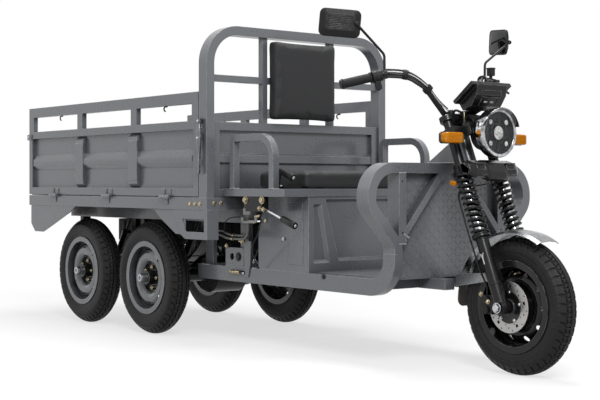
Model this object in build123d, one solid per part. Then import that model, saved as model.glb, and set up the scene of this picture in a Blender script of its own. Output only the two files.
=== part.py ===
"""Motorized cargo trike: low step-through frame, drop-side load bed on two rear axles, spring fork.

X points forward, Y to the left and Z up, in millimetres. The origin is on the floor, in the middle
of the overall length and width.
"""
from build123d import *
from math import cos, radians, sin, tan
import os

# ---- load bed -----------------------------------------------------------------------------------------
BED_FRONT = 74.0            # front face of the bed and its hoop
BED_LENGTH = 1690.0
HALF_WIDTH = 511.5          # outer face of the bed, from the centreline
BED_RAIL_BOTTOM = 593.0
BED_RAIL_TOP = 645.5
BED_RAIL_WIDTH = 40.0
BED_SHEET = 4.0             # thickness of the floor plate
CROSS_MEMBER = 40.0         # square tubes under the floor
CROSS_MEMBER_COUNT = 5
GATE_GAP = 5.0              # air round each moving gate
GATE_TUBE = 50.0            # visible face of the gate tubes
GATE_DEPTH = 25.0           # depth of the gate tubes
GATE_TOP = 1103.0
GATE_OPENING = 75.0         # height of the gaps between the pressed panel and the top rail
PANEL_SHEET = 3.0
TAIL_LAMP_X = (4.0, 44.0)   # from the bed's rear face
TAIL_LAMP_Y = (330.0, 450.0)
TAIL_LAMP_LOW = 535.0
PANEL_RECESS = 18.0         # the sheet lies this far behind the outer face
PANEL_BORDER = 36.0         # width of the frame round the pressed sheet
RIB_LOW = 790.0             # long pressed rib of every panel
RIB_HIGH = 840.0
RIB_DEPTH = 14.0
STRAP_WIDTH = 80.0          # upright stiffener straps
STRAP_CENTRES = (-1135.0, -615.0)   # from the bed's front face
STRAP_TAPER = 22.0
UPRIGHT_STARTS = (-1155.0, -633.0)  # rear edges of the two middle uprights, from the bed's front
HINGE_OFFSET = 12.0         # hinge axis outside the bed's face
HINGE_R = 8.0
HINGE_PIN_R = 4.0
RUN_CLEARANCE = 0.05        # radial air of a turning pin or shaft
HINGE_WIDTH = 24.0          # length of each knuckle
HINGE_AIR = 1.5             # end play between knuckles
LEAF = 4.0                  # thickness of a hinge leaf
LEAF_HEIGHT = 34.0
SIDE_HINGES = (-1389.0, -842.0, -317.0)  # from the bed's front face
TAIL_HINGES = (-330.0, 0.0, 330.0)       # across the bed

SKIRT_SHEET = 4.0
SKIRT_INSET = 1.5           # from the bed's face
SKIRT_DROP = 128.0          # height of the front skirt
SKIRT_RETURN = 56.0         # width of its folded front edge
# skirt outlines: distance from the bed's front face, depth below the side rail
SKIRT_REAR = ((-1670.0, 0.0), (-1670.0, 96.0), (-1625.0, 138.0), (-1530.0, 138.0), (-1430.0, 103.0),
              (-1240.0, 33.0), (-1180.0, 0.0))
SKIRT_MIDDLE = ((-440.0, 0.0), (-375.0, 45.0), (-251.0, 109.0), (-175.0, 109.0), (-175.0, 0.0))
SKIRT_FRONT = ((-268.0, 0.0), (-208.0, 109.0), (-170.0, SKIRT_DROP), (0.0, SKIRT_DROP), (0.0, 0.0))
SKIRT_WINDOW = ((-165.0, 96.0), (-22.0, 96.0), (-22.0, 40.0), (-195.0, 40.0))

# ---- latches on the side gates ------------------------------------------------------------------------
LATCH_LEVER_R = 7.0         # upright toggle bar on the hoop's leg
LATCH_X = -37.0             # its centre, from the bed's front face
LATCH_STAND = 16.0          # from the hoop's face to the bar's centre
LATCH_Z = (765.0, 968.0)
LATCH_LUG = 22.0            # width and height of the lugs that carry the bar

# ---- hoop, headboard and seat -------------------------------------------------------------------------
HOOP_DEPTH = 60.0           # along X
HOOP_TUBE = 40.0            # in the hoop's plane
HOOP_TOP = 1390.0
HOOP_BEND = 145.0           # bend radius of the hoop's centre line
HOOP_RAIL_LOW = 1147.0
HOOP_RAIL_HIGH = 1176.0
HOOP_BAR_Y = 191.0          # the two uprights behind the backrest
HOOP_BAR = 28.0
HEADBOARD_TOP = 973.0
HEADBOARD_DEPTH = 30.0
HEADBOARD_BACK = 12.0       # its sheet side lies this far behind the bed's front face
HOOP_RAIL_BACK = 16.0       # front faces of the hoop's rail and uprights, behind the bed's front
BACKREST_HALF = 185.0
BACKREST_LOW = 980.0
BACKREST_AIR = 5.0          # between the pad and the hoop's top tube
BACKREST_DEPTH = 60.0
SOFT_GAP = 0.3              # air round a soft pad
SEAT_FRAME_LOW = 653.0
SEAT_FRAME_HIGH = 685.0
SEAT_FRAME_TUBE = 40.0
SEAT_FRAME_HALF = 440.0
SEAT_FRAME_REAR = 30.0      # from the bed's front face
SEAT_FRAME_FRONT = 450.0
SEAT_SLAT_Y = 240.0         # bars that carry the seat
SEAT_SLAT = 30.0
SEAT_TONGUE_IN = 60.0       # the tongue to the bed is this much narrower, at each side
ARM_TOP = 914.0
ARM_TUBE = 30.0
ARM_REAR = 85.0             # centres of the armrest's posts, from the bed's front
ARM_FRONT = 362.0
ARM_BEND_REAR = 20.0
ARM_BEND_FRONT = 85.0
SEAT_HALF = 343.0
SEAT_REAR = 118.0
SEAT_FRONT = 470.0
SEAT_TOP = 758.0
SEAT_ROUND = 16.0

# ---- low frame, seat box and footwell -----------------------------------------------------------------
RAIL_OUT = 310.0            # outer face of the low rails
RAIL_THICK = 40.0
RAIL_BOTTOM = 275.0
RAIL_HEIGHT = 65.0
RAIL_REAR = -370.0          # rear end of the low rails, from the bed's front
RISERS = (-305.0, -30.0)    # posts between the low and the upper rails, from the bed's front
RISER_DEPTH = 60.0
CROSS_TUBE = 40.0
LOW_CROSS_TUBES = (-350.0, 60.0, 416.0, 860.0)   # from the bed's front face
UPPER_CROSS_TUBES = (-1620.0, -1257.0, -945.0, -633.0, -305.0)
RAIL_BEND = 110.0
UPPER_RAIL_OUT = 290.0      # long rails under the bed
UPPER_RAIL_BOTTOM = 533.0
UPPER_RAIL_WIDTH = 40.0
UPPER_RAIL_REAR = -1640.0
CENTRE_TUBE_IN = 45.0       # twin tubes along the middle
CENTRE_TUBE_OUT = 95.0
CENTRE_TUBE_FRONT = 1015.0
CENTRE_TUBE_BOTTOM = 298.0
BOX_REAR = 100.0            # seat box
BOX_FRONT = 446.0
BOX_WALL = 3.0
BOX_SLOPE = 60.0            # the rear upper corner is cut back by this much
BOX_SLOPE_LOW = 520.0
BOX_PRESS = 14.0            # depth of the recesses pressed into its front
BOX_PRESS_TAPER = 40.0
# recesses of the front face, (y, z) corners: the middle one, and the left of two side ones
BOX_MIDDLE = ((-222.0, 642.0), (-150.0, 385.0), (150.0, 385.0), (222.0, 642.0))
BOX_SIDE = ((285.0, 380.0), (198.0, 380.0), (243.0, 622.0), (285.0, 622.0))
BOX_BOSS = ((314.0, 372.0), (408.0, 372.0), (408.0, 628.0), (314.0, 628.0))   # raised panel of each side
BOX_BOSS_HEIGHT = 2.5
FLOOR_SHEET = 4.0
BATTERY_MARGIN = 25.0
BATTERY_REAR = 150.0        # from the bed's front face
BATTERY_TOP = 560.0

# ---- rear axles, springs and dampers ------------------------------------------------------------------
AXLE_TUBE_R = 30.0
AXLE_END_GAP = 12.0         # between the brake back and the tyre
MOTOR = (-75.0, 95.0, 88.0) # ends across the vehicle, radius
GEARBOX = (95.0, 150.0, 62.0)
BRAKE_BACK = 24.0           # thickness
BRAKE_BACK_R = 78.0
SPRING_Y = 264.0
SPRING_WIDTH = 44.0
SPRING_PAD = 45.0           # half length of the clamp plates
SPRING_CLAMP = 10.0
SPRING_RISE = 130.0
SPRING_EYE_R = 14.0
LEAF_THICK = 7.0
LEAVES = ((270.0, 0.0), (225.0, 1.0), (170.0, 2.0), (115.0, 3.0))   # half length, place in the pack
DAMPER_Y = 222.0
DAMPER_LEAN = 150.0         # the top lies this far before the axle
DAMPER_R = 22.0
DAMPER_ROD_R = 9.0
DAMPER_LOW = 320.0          # height of the lower eye
DAMPER_TOP = 552.0
DAMPER_SPLIT = 0.62         # share of the length that is the wide body

# ---- front guard --------------------------------------------------------------------------------------
LOOP_FRONT = 965.0          # front face of the guard's tubes, from the bed's front
LOOP_DEPTH = 65.0
LOOP_TUBE = 40.0
LOOP_JOIN = 440.0           # height where the rail's bend meets the loop
LOOP_PINCH = 478.0
LOOP_SPREAD = 423.0         # widest centre line
LOOP_SPREAD_Z = 620.0
LOOP_TOP = 766.0            # centre line of the top bar
LOOP_BENDS = (55.0, 80.0, 108.0)
POST_IN = 251.0
POST_OUT = 287.0
POST_HOLE_R = 4.0
POST_HOLES = (520.0, 715.0)
BRACE_WIDTH = 25.0
BRACE_IN = 55.0             # top end of each brace, from the centreline
BRACE_LOW = 508.0
APRON_SHEET = 3.0
APRON_RECESS = 30.0         # also the depth of the braces

# ---- steering and fork, in the steering frame ---------------------------------------------------------
RAKE = 22.0                 # lean of the steering axis, degrees
STEER_FOOT_X = 1272.0       # steering axis level with the front axle's foot point, from the bed's front
STEER_FOOT_Z = 239.5
FRONT_AXLE_AHEAD = 1308.0   # front axle, from the bed's front face
AXLE_OFFSET = 38.8          # the front axle and the legs lie this far before the axis
LEG_Y = 95.0
LEG_R = 24.0
LEG_TOP = 268.0             # top of the lower leg
LEG_FOOT = 44.0             # width of the leg's foot round the axle
FENDER_LUG = (26.0, 100.0, 140.0)    # depth and ends of the lug that holds the fender's stay
AXLE_END = 6.0              # the axle runs this far beyond the legs
AXLE_NUT = (16.0, 10.0)     # radius, height
CALIPER_LUG = (36.0, 10.0, 1.0)      # reach over the disc, and gaps to the leg's middle and its outer face
CALIPER_LUG_Z = (-18.0, 28.0)
CLAMP_BACK = 6.0            # middle of the clamps, behind the steering axis
BAR_RISER = (17.0, 12.0)    # half depth, half width
TUBE_R = 15.0               # bright upper tube
LOWER_CLAMP = (540.0, 564.0)
UPPER_CLAMP = (742.0, 762.0)
HEAD_TUBE = (572.0, 735.0)
HEAD_TUBE_R = 29.0
# corners of the web under the head tube: ahead of the guard's rear face, above its top bar
HEAD_WEB = ((-60.0, 0.0), (125.0, 2.0), (95.0, 90.0), (66.0, 78.0))
HEAD_WEB_HALF = 22.0
STEM_R = 15.0
UPPER_TUBE_R = 19.0
CLAMP_R = 30.0
BAR_X = 6.8                 # centre of the handlebar in its clamp
BAR_Z = 783.0
BAR_CLAMP_Y = 38.0
BAR_R = 11.0
GRIP_R = 17.0
COLLAR_X = (18.8, 78.8)     # lamp collar round each upper tube
COLLAR_Z = (672.0, 708.0)
COLLAR_HALF = 27.0
COIL_R = 31.0               # main spring, to the wire's centre
COIL_WIRE_R = 4.5
COIL_TURNS = 12
SEAT_RING = 10.0            # height of a spring seat

FENDER_HALF = 58.0
FENDER_SHEET = 2.5
FENDER_FRONT = 60.0         # ends of the fender's arc, degrees above the horizontal
FENDER_REAR = 166.0
FENDER_EDGE_R = 270.0       # radii of the fender's face, at its edge and over its crown
FENDER_CROWN = ((279.0, -44.0), (284.0, 0.0), (279.0, 44.0))
FLAP_THICK = 4.0
FLAP_LAP = 9.0
FLAP_END = 189.0
FENDER_STAY = ((-30.0, 100.0), (-268.0, 60.0), (-272.0, 96.0), (-252.0, 110.0), (-60.0, 122.0))
STAY_SHEET = 3.0
STAY_SEAT = 1.0             # the stays reach this far outside the fender's edge

LAMP_R = 91.5
LAMP_FACE = 1209.0          # front of the headlight, from the bed's front
LAMP_Z = 897.0
LAMP_DEPTH = 118.0
LAMP_BEZEL = 12.0           # width of the bright ring
LAMP_RIM = 34.0             # length of its outer wall
LAMP_GLASS = 10.0           # the glass lies this far behind the ring
LAMP_PEAK = 16.0            # peak before the ring, over its top
LAMP_PEAK_SHEET = 2.5
LAMP_PEAK_ARC = 150.0       # degrees
LAMP_PEAK_TURN = 15.0       # the peak's ends lie this far above the lamp's axis
LAMP_EAR = 48.0
SIGNAL_X = 1134.0
SIGNAL_Z = 877.0
SIGNAL_OUT = 226.0
SIGNAL_BODY = 32.0          # depth of the lamp
SIGNAL_HEIGHT = 36.0
SIGNAL_NECK = 24.0
SIGNAL_ARM = 66.0           # arm back to the fork's collar
SIGNAL_ARM_THICK = 10.0
COWL_HALF = 126.0
# cowl outlines in the steering frame: distance before the axis, height along it
COWL_PROFILE = ((69.5, 506.0), (103.0, 486.0), (119.0, 487.0), (123.0, 538.0), (90.0, 563.0), (69.5, 563.0))
COWL_WING = ((52.0, 518.0), (103.0, 486.0), (119.0, 487.0), (123.0, 538.0), (90.0, 563.0), (52.0, 560.0))
COWL_WING_SHEET = 5.0
BAR_POINTS = ((961.0, 150.0, 1077.0), (920.0, 200.0, 1119.0), (876.0, 262.0, 1128.0), (800.0, 430.0, 1084.0))
BAR_BEND = 22.0
GRIP_LENGTH = 118.0
GRIP_END = 6.0              # end cap beyond the bar
POD_GAP = 4.0
POD_LENGTH = 40.0
MASTER_AHEAD = 36.0         # master cylinder, before the bar
MASTER_R = 14.0
LEVER_AHEAD = 48.0
LEVER_R = 5.0
PERCH_BACK = 174.0          # mirror perch, from the bar's end
# side, ball joint from the bed's front face (left side), sweep to the rear and lift of the outer end
MIRRORS = ((-1, (870.0, 418.0, 1308.0), 38.0, 5.0), (1, (857.0, 438.0, 1298.0), 70.0, 5.0))
MIRROR_WIDTH = 155.0
MIRROR_HEIGHT = 104.0
MIRROR_ROUND = 20.0
MIRROR_RIM = 8.0            # depth of the straight edge
MIRROR_DOME = 15.0          # height of the tapered back
MIRROR_TAPER = 22.0
MIRROR_BALL_IN = 16.0       # ball joint, from the inner end
MIRROR_BALL_R = 9.0
MIRROR_STEM_R = 5.0
MIRROR_NECK = 76.0          # height of the stem's bend over the bar
MIRROR_BEND = 24.0

DISPLAY_LOW = (1068.0, 1019.0)   # lower edge of the screen: from the bed's front face, height
DISPLAY_TILT = 37.0
DISPLAY_LENGTH = 118.0
DISPLAY_THICK = 14.0
DISPLAY_HALF = 106.0
DISPLAY_SHELL_HALF = 80.0
# corners of the shell under the screen, from the screen's lower rear edge: x, z
DISPLAY_SHELL = ((90.0, 32.0), (62.0, -8.0), (17.0, -23.0))
DISPLAY_PLATE = (34.0, 124.0, -32.0, 32.0)   # in the steering frame: x, x, y, y

LINE_R = 3.5                # front brake line
LINE_RISE = 30.0            # last straight run over the caliper
# corners of the line in the steering frame, from under the master cylinder to behind the right leg
LINE_ROUTE = ((8.0, 236.0, 956.0), (34.0, 172.0, 872.0), (38.0, 141.0, 790.0), (16.0, 139.0, 585.0),
              (-20.0, 120.0, 516.0), (-20.0, 40.0, 503.0), (-20.0, -90.0, 500.0), (-12.0, -103.0, 320.0),
              (-14.0, -97.0, 165.0))

# ---- parking brake and brake hoses --------------------------------------------------------------------
BRAKE_BRACKET_X = (182.0, 298.0)         # its two bolts, from the bed's front face
BRAKE_BRACKET_Y = (-438.0, -404.0)
BRAKE_BRACKET_LOW = 590.0
BRAKE_EAR_R = 15.0
BRAKE_EAR_THICK = 10.0
BRAKE_LEVER = ((286.0, -422.0, 606.0), (420.0, -424.0, 563.0), (503.0, -424.0, 537.0))
BRAKE_ROD_R = 6.0
BRAKE_GRIP_R = 14.0
BRAKE_SPRING = (-102.0, 92.0, 318.0)     # x, length, height
BRAKE_SPRING_R = 6.0
# gear lever beside the bench's right end
GEAR_FOOT_X = (312.0, 350.0)             # its foot on the right beam, from the bed's front face
GEAR_FOOT_WIDTH = 36.0
GEAR_FOOT_RISE = 10.0
GEAR_LEVER = ((332.0, 690.0), (352.0, 760.0), (438.0, 729.0))
GEAR_GRIP_R = 12.0
PLATE_THICK = 6.0
STAY_PLATE = ((0.0, 456.0), (52.0, 456.0), (44.0, 352.0), (30.0, 300.0), (12.0, 300.0), (2.0, 352.0))
FLAT_PLATE = (-148.0, -10.0)
FLAT_PLATE_TOP = 424.0
FLAT_PLATE_HOLES = (-100.0, -48.0)
FLAT_PLATE_HOLE_Z = 385.0
FLAT_PLATE_HOLE_R = 16.0
HOSE_R = 5.0
HOSE_ARC = 0.45             # share of the shorter run that an arc may use
HOSE_STUB = (44.0, -326.0, 36.0)         # x, y and width of the block that holds both hoses
HOSE_TOP = 560.0
# corners of each hose after the stub, before the riser: from the bed's front face, y, z
HOSE_ROUTES = (((34.0, -322.0, 480.0), (-100.0, -322.0, 478.0), (-215.0, -277.0, 494.0)),
               ((50.0, -330.0, 466.0), (-98.0, -333.0, 463.0), (-218.0, -283.0, 474.0)))

# ---- wheels -------------------------------------------------------------------------------------------
REAR_AXLE_FIRST = -633.0    # from the bed's front face
REAR_AXLE_SPACING = 624.0
REAR_TYRE_R = 265.0
REAR_TYRE_WIDTH = 108.0
REAR_WHEEL_Y = 385.0
FRONT_TYRE_R = 254.0
FRONT_TYRE_WIDTH = 96.0
RIM_FLANGE_R = 171.0
RIM_SEAT_R = 152.0
RIM_FLANGE = 4.0
RIM_WALL = 5.0
SPINDLE_R = 15.0
HUB_R = 48.0
HUB_IN = 40.0               # rear hub, from the wheel's centre plane
HUB_FACE = 4.0              # its outer face, where the nuts sit
HUB_OUT = 46.0              # end of the boss
HUB_BOSS_R = 33.0
HUB_CAP_R = 20.0
HUB_CAP_OUT = 79.0
SPINDLE_END = 36.0          # end of the spindle's bore
NUTS = 5
NUT_RING = 50.0
NUT_R = 9.0
NUT_HEIGHT = 18.0
FRONT_HUB = 50.0
# pressed discs of the rims: radius, distance outboard of the wheel's centre plane
REAR_DISC = ((149.0, 6.0), (139.0, 8.0), (128.0, 23.0), (113.0, 31.0), (92.0, 32.0), (79.0, 27.0),
             (72.0, 17.0), (70.0, 4.0), (44.0, 4.0))
FRONT_DISC = ((149.0, -14.0), (138.0, -12.0), (118.0, 12.0), (105.0, 21.0), (92.0, 20.0), (82.0, 8.0),
              (44.0, 4.0))
REAR_HOLES = (8, 119.0, 7.0)    # count, ring radius, hole radius
FRONT_HOLES = (10, 122.0, 10.0)
FRONT_AXLE_R = 9.0
DISC_R = 95.0
DISC_Y = -59.0
DISC_THICK = 4.0
DISC_AIR = 5.0
DISC_BORE_AIR = 3.0         # round the axle
CARRIER_R = 40.0
CALIPER_OUT = 26.0          # outside the disc
CALIPER_IN = 20.0
CALIPER_OVER = 22.0         # beyond the disc's edge
CALIPER_REACH = 36.0        # over the disc
CALIPER_LOW = -30.0         # ends, from the axle's height
CALIPER_TOP = 40.0
CALIPER_BOSS = 8.0
CALIPER_BOSS_R = 15.0

FRONT_AXLE_X = BED_FRONT + FRONT_AXLE_AHEAD
FRONT_AXLE_Z = 254.0
BED_REAR = BED_FRONT - BED_LENGTH
GATE_PANEL_TOP = GATE_TOP - GATE_TUBE - GATE_OPENING
RAIL_TOP = RAIL_BOTTOM + RAIL_HEIGHT
HINGE_Z = BED_RAIL_TOP + GATE_GAP / 2
GATE_BOTTOM = BED_RAIL_TOP + GATE_GAP
REAR_AXLES = (BED_FRONT + REAR_AXLE_FIRST, BED_FRONT + REAR_AXLE_FIRST - REAR_AXLE_SPACING)

STEER = Plane(
    origin=(BED_FRONT + STEER_FOOT_X, 0, STEER_FOOT_Z),
    x_dir=(cos(radians(RAKE)), 0, sin(radians(RAKE))),
    z_dir=(-sin(radians(RAKE)), 0, cos(radians(RAKE))),
).location
STEER_SIDE = Plane(origin=(0, 0, 0), x_dir=(1, 0, 0), z_dir=(0, -1, 0))


# ---- helpers ------------------------------------------------------------------------------------------
def block(x0, x1, y0, y1, z0, z1):
    """Square block between two corners."""
    return Pos((x0 + x1) / 2, (y0 + y1) / 2, (z0 + z1) / 2) * Box(x1 - x0, y1 - y0, z1 - z0)


def both(shape):
    """A shape and its mirror image across the centreline."""
    return shape + mirror(shape, about=Plane.XZ)


def rod(start, end, radius):
    """Round bar from start to end."""
    along = Vector(*end) - Vector(*start)
    return extrude(Plane(origin=start, z_dir=along) * Circle(radius), amount=along.length)


def cross_rod(x, z, y0, y1, radius):
    """Round bar across the vehicle."""
    return rod((x, y0, z), (x, y1, z), radius)


def bar(start, end, width, thick, across):
    """Flat bar from start to end, its width along the direction across."""
    along = Vector(*end) - Vector(*start)
    return extrude(Plane(origin=start, x_dir=across, z_dir=along) * Rectangle(width, thick),
                   amount=along.length)


def bent_bar(points, radii, width, thick, across):
    """Rectangular tube along straight runs joined by arcs."""
    path = FilletPolyline(*points, radius=radii)
    section = Plane(origin=path @ 0, x_dir=across, z_dir=path % 0) * Rectangle(width, thick)
    return sweep(section, path=path)


def bent_rod(points, radii, radius):
    """Round tube along straight runs joined by arcs."""
    path = FilletPolyline(*points, radius=radii)
    return sweep(Plane(origin=path @ 0, z_dir=path % 0) * Circle(radius), path=path)


def side_plate(corners, y0, y1):
    """Plate with (x, z) corners between two planes across Y."""
    face = make_face(Polyline(*[(x, y0, z) for x, z in corners], close=True))
    return extrude(face, amount=y1 - y0, dir=(0, 1, 0))


def cross_plate(corners, x0, x1):
    """Plate with (y, z) corners between two planes across X."""
    face = make_face(Polyline(*[(x0, y, z) for y, z in corners], close=True))
    return extrude(face, amount=x1 - x0, dir=(1, 0, 0))


def turned(corners):
    """Solid of revolution about Y from (radius, y) corners."""
    return revolve(make_face(Polyline(*corners, close=True)), axis=Axis.Y)


# ---- load bed -----------------------------------------------------------------------------------------
def bed_frame():
    """Perimeter rails, cross members and the fixed halves of all hinges."""
    inner = HALF_WIDTH - BED_RAIL_WIDTH
    frame = both(block(BED_REAR, BED_FRONT, inner, HALF_WIDTH, BED_RAIL_BOTTOM, BED_RAIL_TOP))
    frame += block(BED_FRONT - HOOP_DEPTH, BED_FRONT, -inner, inner, BED_RAIL_BOTTOM, BED_RAIL_TOP)
    frame += block(BED_REAR, BED_REAR + BED_RAIL_WIDTH, -inner, inner, BED_RAIL_BOTTOM, BED_RAIL_TOP)
    first = BED_REAR + BED_RAIL_WIDTH
    pitch = (BED_LENGTH - BED_RAIL_WIDTH - HOOP_DEPTH) / (CROSS_MEMBER_COUNT + 1)
    top = BED_RAIL_TOP - BED_SHEET
    for count in range(1, CROSS_MEMBER_COUNT + 1):
        x = first + count * pitch
        frame += block(x - CROSS_MEMBER / 2, x + CROSS_MEMBER / 2, -inner, inner, BED_RAIL_BOTTOM, top)
    for x in SIDE_HINGES:
        frame += both(Pos(BED_FRONT + x, HALF_WIDTH, HINGE_Z) * fixed_hinge())
    for y in TAIL_HINGES:
        frame += Pos(BED_REAR, y, HINGE_Z) * Rot(0, 0, 90) * fixed_hinge()
    return frame


def fixed_hinge():
    """Leaf, middle knuckle and pin of one hinge on a face at y = 0, its axis along X."""
    half = HINGE_WIDTH / 2
    reach = HINGE_WIDTH * 1.5 + HINGE_AIR
    hinge = block(-half, half, 0, LEAF, -LEAF_HEIGHT, -GATE_GAP / 2)
    hinge += block(-half, half, 0, HINGE_OFFSET, -HINGE_R, 0)
    hinge += Pos(0, HINGE_OFFSET, 0) * Rot(0, 90, 0) * Cylinder(HINGE_R, HINGE_WIDTH)
    hinge += Pos(0, HINGE_OFFSET, 0) * Rot(0, 90, 0) * Cylinder(HINGE_PIN_R, reach * 2)
    return hinge


def gate_hinge():
    """Leaf and two outer knuckles that turn on the pin."""
    near = HINGE_WIDTH / 2 + HINGE_AIR
    far = near + HINGE_WIDTH - 1
    hinge = None
    for side in (-1, 1):
        x0, x1 = sorted((side * near, side * far))
        lug = block(x0, x1, 0, LEAF, GATE_GAP / 2, LEAF_HEIGHT)
        lug += block(x0, x1, 0, HINGE_OFFSET, GATE_GAP / 2, HINGE_R)
        lug += Pos((x0 + x1) / 2, HINGE_OFFSET, 0) * Rot(0, 90, 0) * Cylinder(HINGE_R, x1 - x0)
        lug -= Pos((x0 + x1) / 2, HINGE_OFFSET, 0) * Rot(0, 90, 0) * Cylinder(
            HINGE_PIN_R + RUN_CLEARANCE, x1 - x0 + 2)
        hinge = lug if hinge is None else hinge + lug
    return hinge


def bed_floor():
    """Plate that lies on the cross members between the rails."""
    inner = HALF_WIDTH - BED_RAIL_WIDTH
    return block(BED_REAR + BED_RAIL_WIDTH, BED_FRONT - HOOP_DEPTH, -inner, inner,
                 BED_RAIL_TOP - BED_SHEET, BED_RAIL_TOP)


def pressed_panel(x0, x1, z0, z1, face, straps):
    """Framed sheet with one long rib and upright straps; its outer face lies at y = face."""
    back = face - GATE_DEPTH
    sheet_out = face - PANEL_RECESS
    panel = block(x0, x1, back, face, z0, z1)
    panel -= block(x0 + PANEL_BORDER, x1 - PANEL_BORDER, sheet_out, face, z0 + PANEL_BORDER,
                   z1 - PANEL_BORDER)
    panel -= block(x0 + PANEL_BORDER, x1 - PANEL_BORDER, back, sheet_out - PANEL_SHEET,
                   z0 + PANEL_BORDER, z1 - PANEL_BORDER)
    crest = sheet_out + RIB_DEPTH
    slope = RIB_DEPTH * 0.6
    rib = cross_plate([(sheet_out, RIB_LOW), (crest, RIB_LOW + slope), (crest, RIB_HIGH - slope),
                       (sheet_out, RIB_HIGH)], x0 + PANEL_BORDER, x1 - PANEL_BORDER)
    panel += rib
    low, high = z0 + PANEL_BORDER, z1 - PANEL_BORDER
    for centre in straps:
        strap = cross_plate([(sheet_out, low), (face, low + STRAP_TAPER), (face, high - STRAP_TAPER),
                             (sheet_out, high)], centre - STRAP_WIDTH / 2, centre + STRAP_WIDTH / 2)
        panel += strap
    return panel


def side_gate():
    """Left side gate: pressed panel, uprights, top rail and hinge halves."""
    x0, x1 = BED_REAR, BED_FRONT - HOOP_DEPTH - GATE_GAP
    face, back = HALF_WIDTH, HALF_WIDTH - GATE_DEPTH
    straps = [BED_FRONT + x for x in STRAP_CENTRES]
    gate = pressed_panel(x0, x1, GATE_BOTTOM, GATE_PANEL_TOP, face, straps)
    uprights = [x0] + [BED_FRONT + x for x in UPRIGHT_STARTS] + [x1 - GATE_TUBE]
    for x in uprights:
        gate += block(x, x + GATE_TUBE, back, face, GATE_PANEL_TOP, GATE_TOP - GATE_TUBE)
    gate += block(x0, x1, back, face, GATE_TOP - GATE_TUBE, GATE_TOP)
    for x in SIDE_HINGES:
        gate += Pos(BED_FRONT + x, face, HINGE_Z) * gate_hinge()
    return gate


def tailgate():
    """Rear gate, modelled as a panel across Y and turned to the bed's rear face."""
    half = HALF_WIDTH - GATE_DEPTH - GATE_GAP
    straps = [-half / 3, half / 3]
    gate = pressed_panel(-half, half, GATE_BOTTOM, GATE_PANEL_TOP, 0, straps)
    for y in TAIL_HINGES:
        gate += Pos(y, 0, HINGE_Z) * gate_hinge()
    return Pos(BED_REAR, 0, 0) * Rot(0, 0, 90) * gate


def hoop():
    """Tall bent hoop at the bed's front with its cross rail and two uprights."""
    x = BED_FRONT - HOOP_DEPTH / 2
    side, top = HALF_WIDTH - HOOP_TUBE / 2, HOOP_TOP - HOOP_TUBE / 2
    path = [(x, -side, BED_RAIL_TOP), (x, -side, top), (x, side, top), (x, side, BED_RAIL_TOP)]
    frame = bent_bar(path, HOOP_BEND, HOOP_DEPTH, HOOP_TUBE, (1, 0, 0))
    inner = HALF_WIDTH - HOOP_TUBE
    bar_front = BED_FRONT - HOOP_RAIL_BACK
    bar_back = bar_front - HOOP_BAR
    frame += block(bar_back, bar_front, -inner, inner, HOOP_RAIL_LOW, HOOP_RAIL_HIGH)
    frame += both(block(bar_back, bar_front, HOOP_BAR_Y - HOOP_BAR / 2, HOOP_BAR_Y + HOOP_BAR / 2,
                        HEADBOARD_TOP, HOOP_TOP - HOOP_TUBE))
    return frame + both(gate_latch())


def gate_latch():
    """Toggle bar on two lugs on the outer face of the hoop's left leg."""
    low, high = LATCH_Z
    x, y = BED_FRONT + LATCH_X, HALF_WIDTH + LATCH_STAND
    latch = rod((x, y, low), (x, y, high), LATCH_LEVER_R)
    for z in (low + LATCH_LUG, high - 2 * LATCH_LUG):
        latch += block(x - LATCH_LUG / 2, x + LATCH_LUG / 2, HALF_WIDTH, y, z, z + LATCH_LUG)
    return latch


def headboard():
    """Fixed front wall of the bed between the hoop's legs."""
    half = HALF_WIDTH - HOOP_TUBE
    board = pressed_panel(-half, half, BED_RAIL_TOP, HEADBOARD_TOP, 0, [])
    board += block(-half, half, -HEADBOARD_DEPTH, -GATE_DEPTH, HEADBOARD_TOP - HEADBOARD_DEPTH, HEADBOARD_TOP)
    return Pos(BED_FRONT - HEADBOARD_BACK, 0, 0) * Rot(0, 0, -90) * board


def skirt_plate(corners, inset):
    """Sheet under the left rail from (x before the bed's front, depth below the rail) corners."""
    out = HALF_WIDTH - inset
    return side_plate([(BED_FRONT + x, BED_RAIL_BOTTOM - down) for x, down in corners], out - SKIRT_SHEET, out)


def bed_skirts():
    """Bent sheet skirts under the side rails: one behind the wheels, two lapped ones before them."""
    rear = skirt_plate(SKIRT_REAR, SKIRT_INSET)
    front = skirt_plate(SKIRT_FRONT, SKIRT_INSET) - skirt_plate(SKIRT_WINDOW, SKIRT_INSET)
    front += skirt_plate(SKIRT_MIDDLE, SKIRT_INSET + SKIRT_SHEET)
    out = HALF_WIDTH - SKIRT_INSET - SKIRT_SHEET
    front += block(BED_FRONT - SKIRT_SHEET, BED_FRONT, out - SKIRT_RETURN, out, BED_RAIL_BOTTOM - SKIRT_DROP,
                   BED_RAIL_BOTTOM)
    return both(rear) + both(front)


# ---- low frame ----------------------------------------------------------------------------------------
def low_frame():
    """Low rails with their front bends, the centre tubes and the low cross tubes."""
    mid = RAIL_OUT - RAIL_THICK / 2
    loop_x = BED_FRONT + LOOP_FRONT - LOOP_DEPTH / 2
    rail_z = RAIL_BOTTOM + RAIL_HEIGHT / 2
    path = [(BED_FRONT + RAIL_REAR, mid, rail_z), (loop_x, mid, rail_z), (loop_x, mid, LOOP_JOIN)]
    half = bent_bar(path, RAIL_BEND, RAIL_HEIGHT, RAIL_THICK, (0, 0, 1))
    half += block(BED_FRONT + RAIL_REAR, BED_FRONT + CENTRE_TUBE_FRONT, CENTRE_TUBE_IN, CENTRE_TUBE_OUT,
                  CENTRE_TUBE_BOTTOM, RAIL_TOP)
    frame = both(half)
    inner = RAIL_OUT - RAIL_THICK
    for x in LOW_CROSS_TUBES:
        frame += cross_tube(x, inner, RAIL_TOP - CROSS_TUBE)
    return frame


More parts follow.
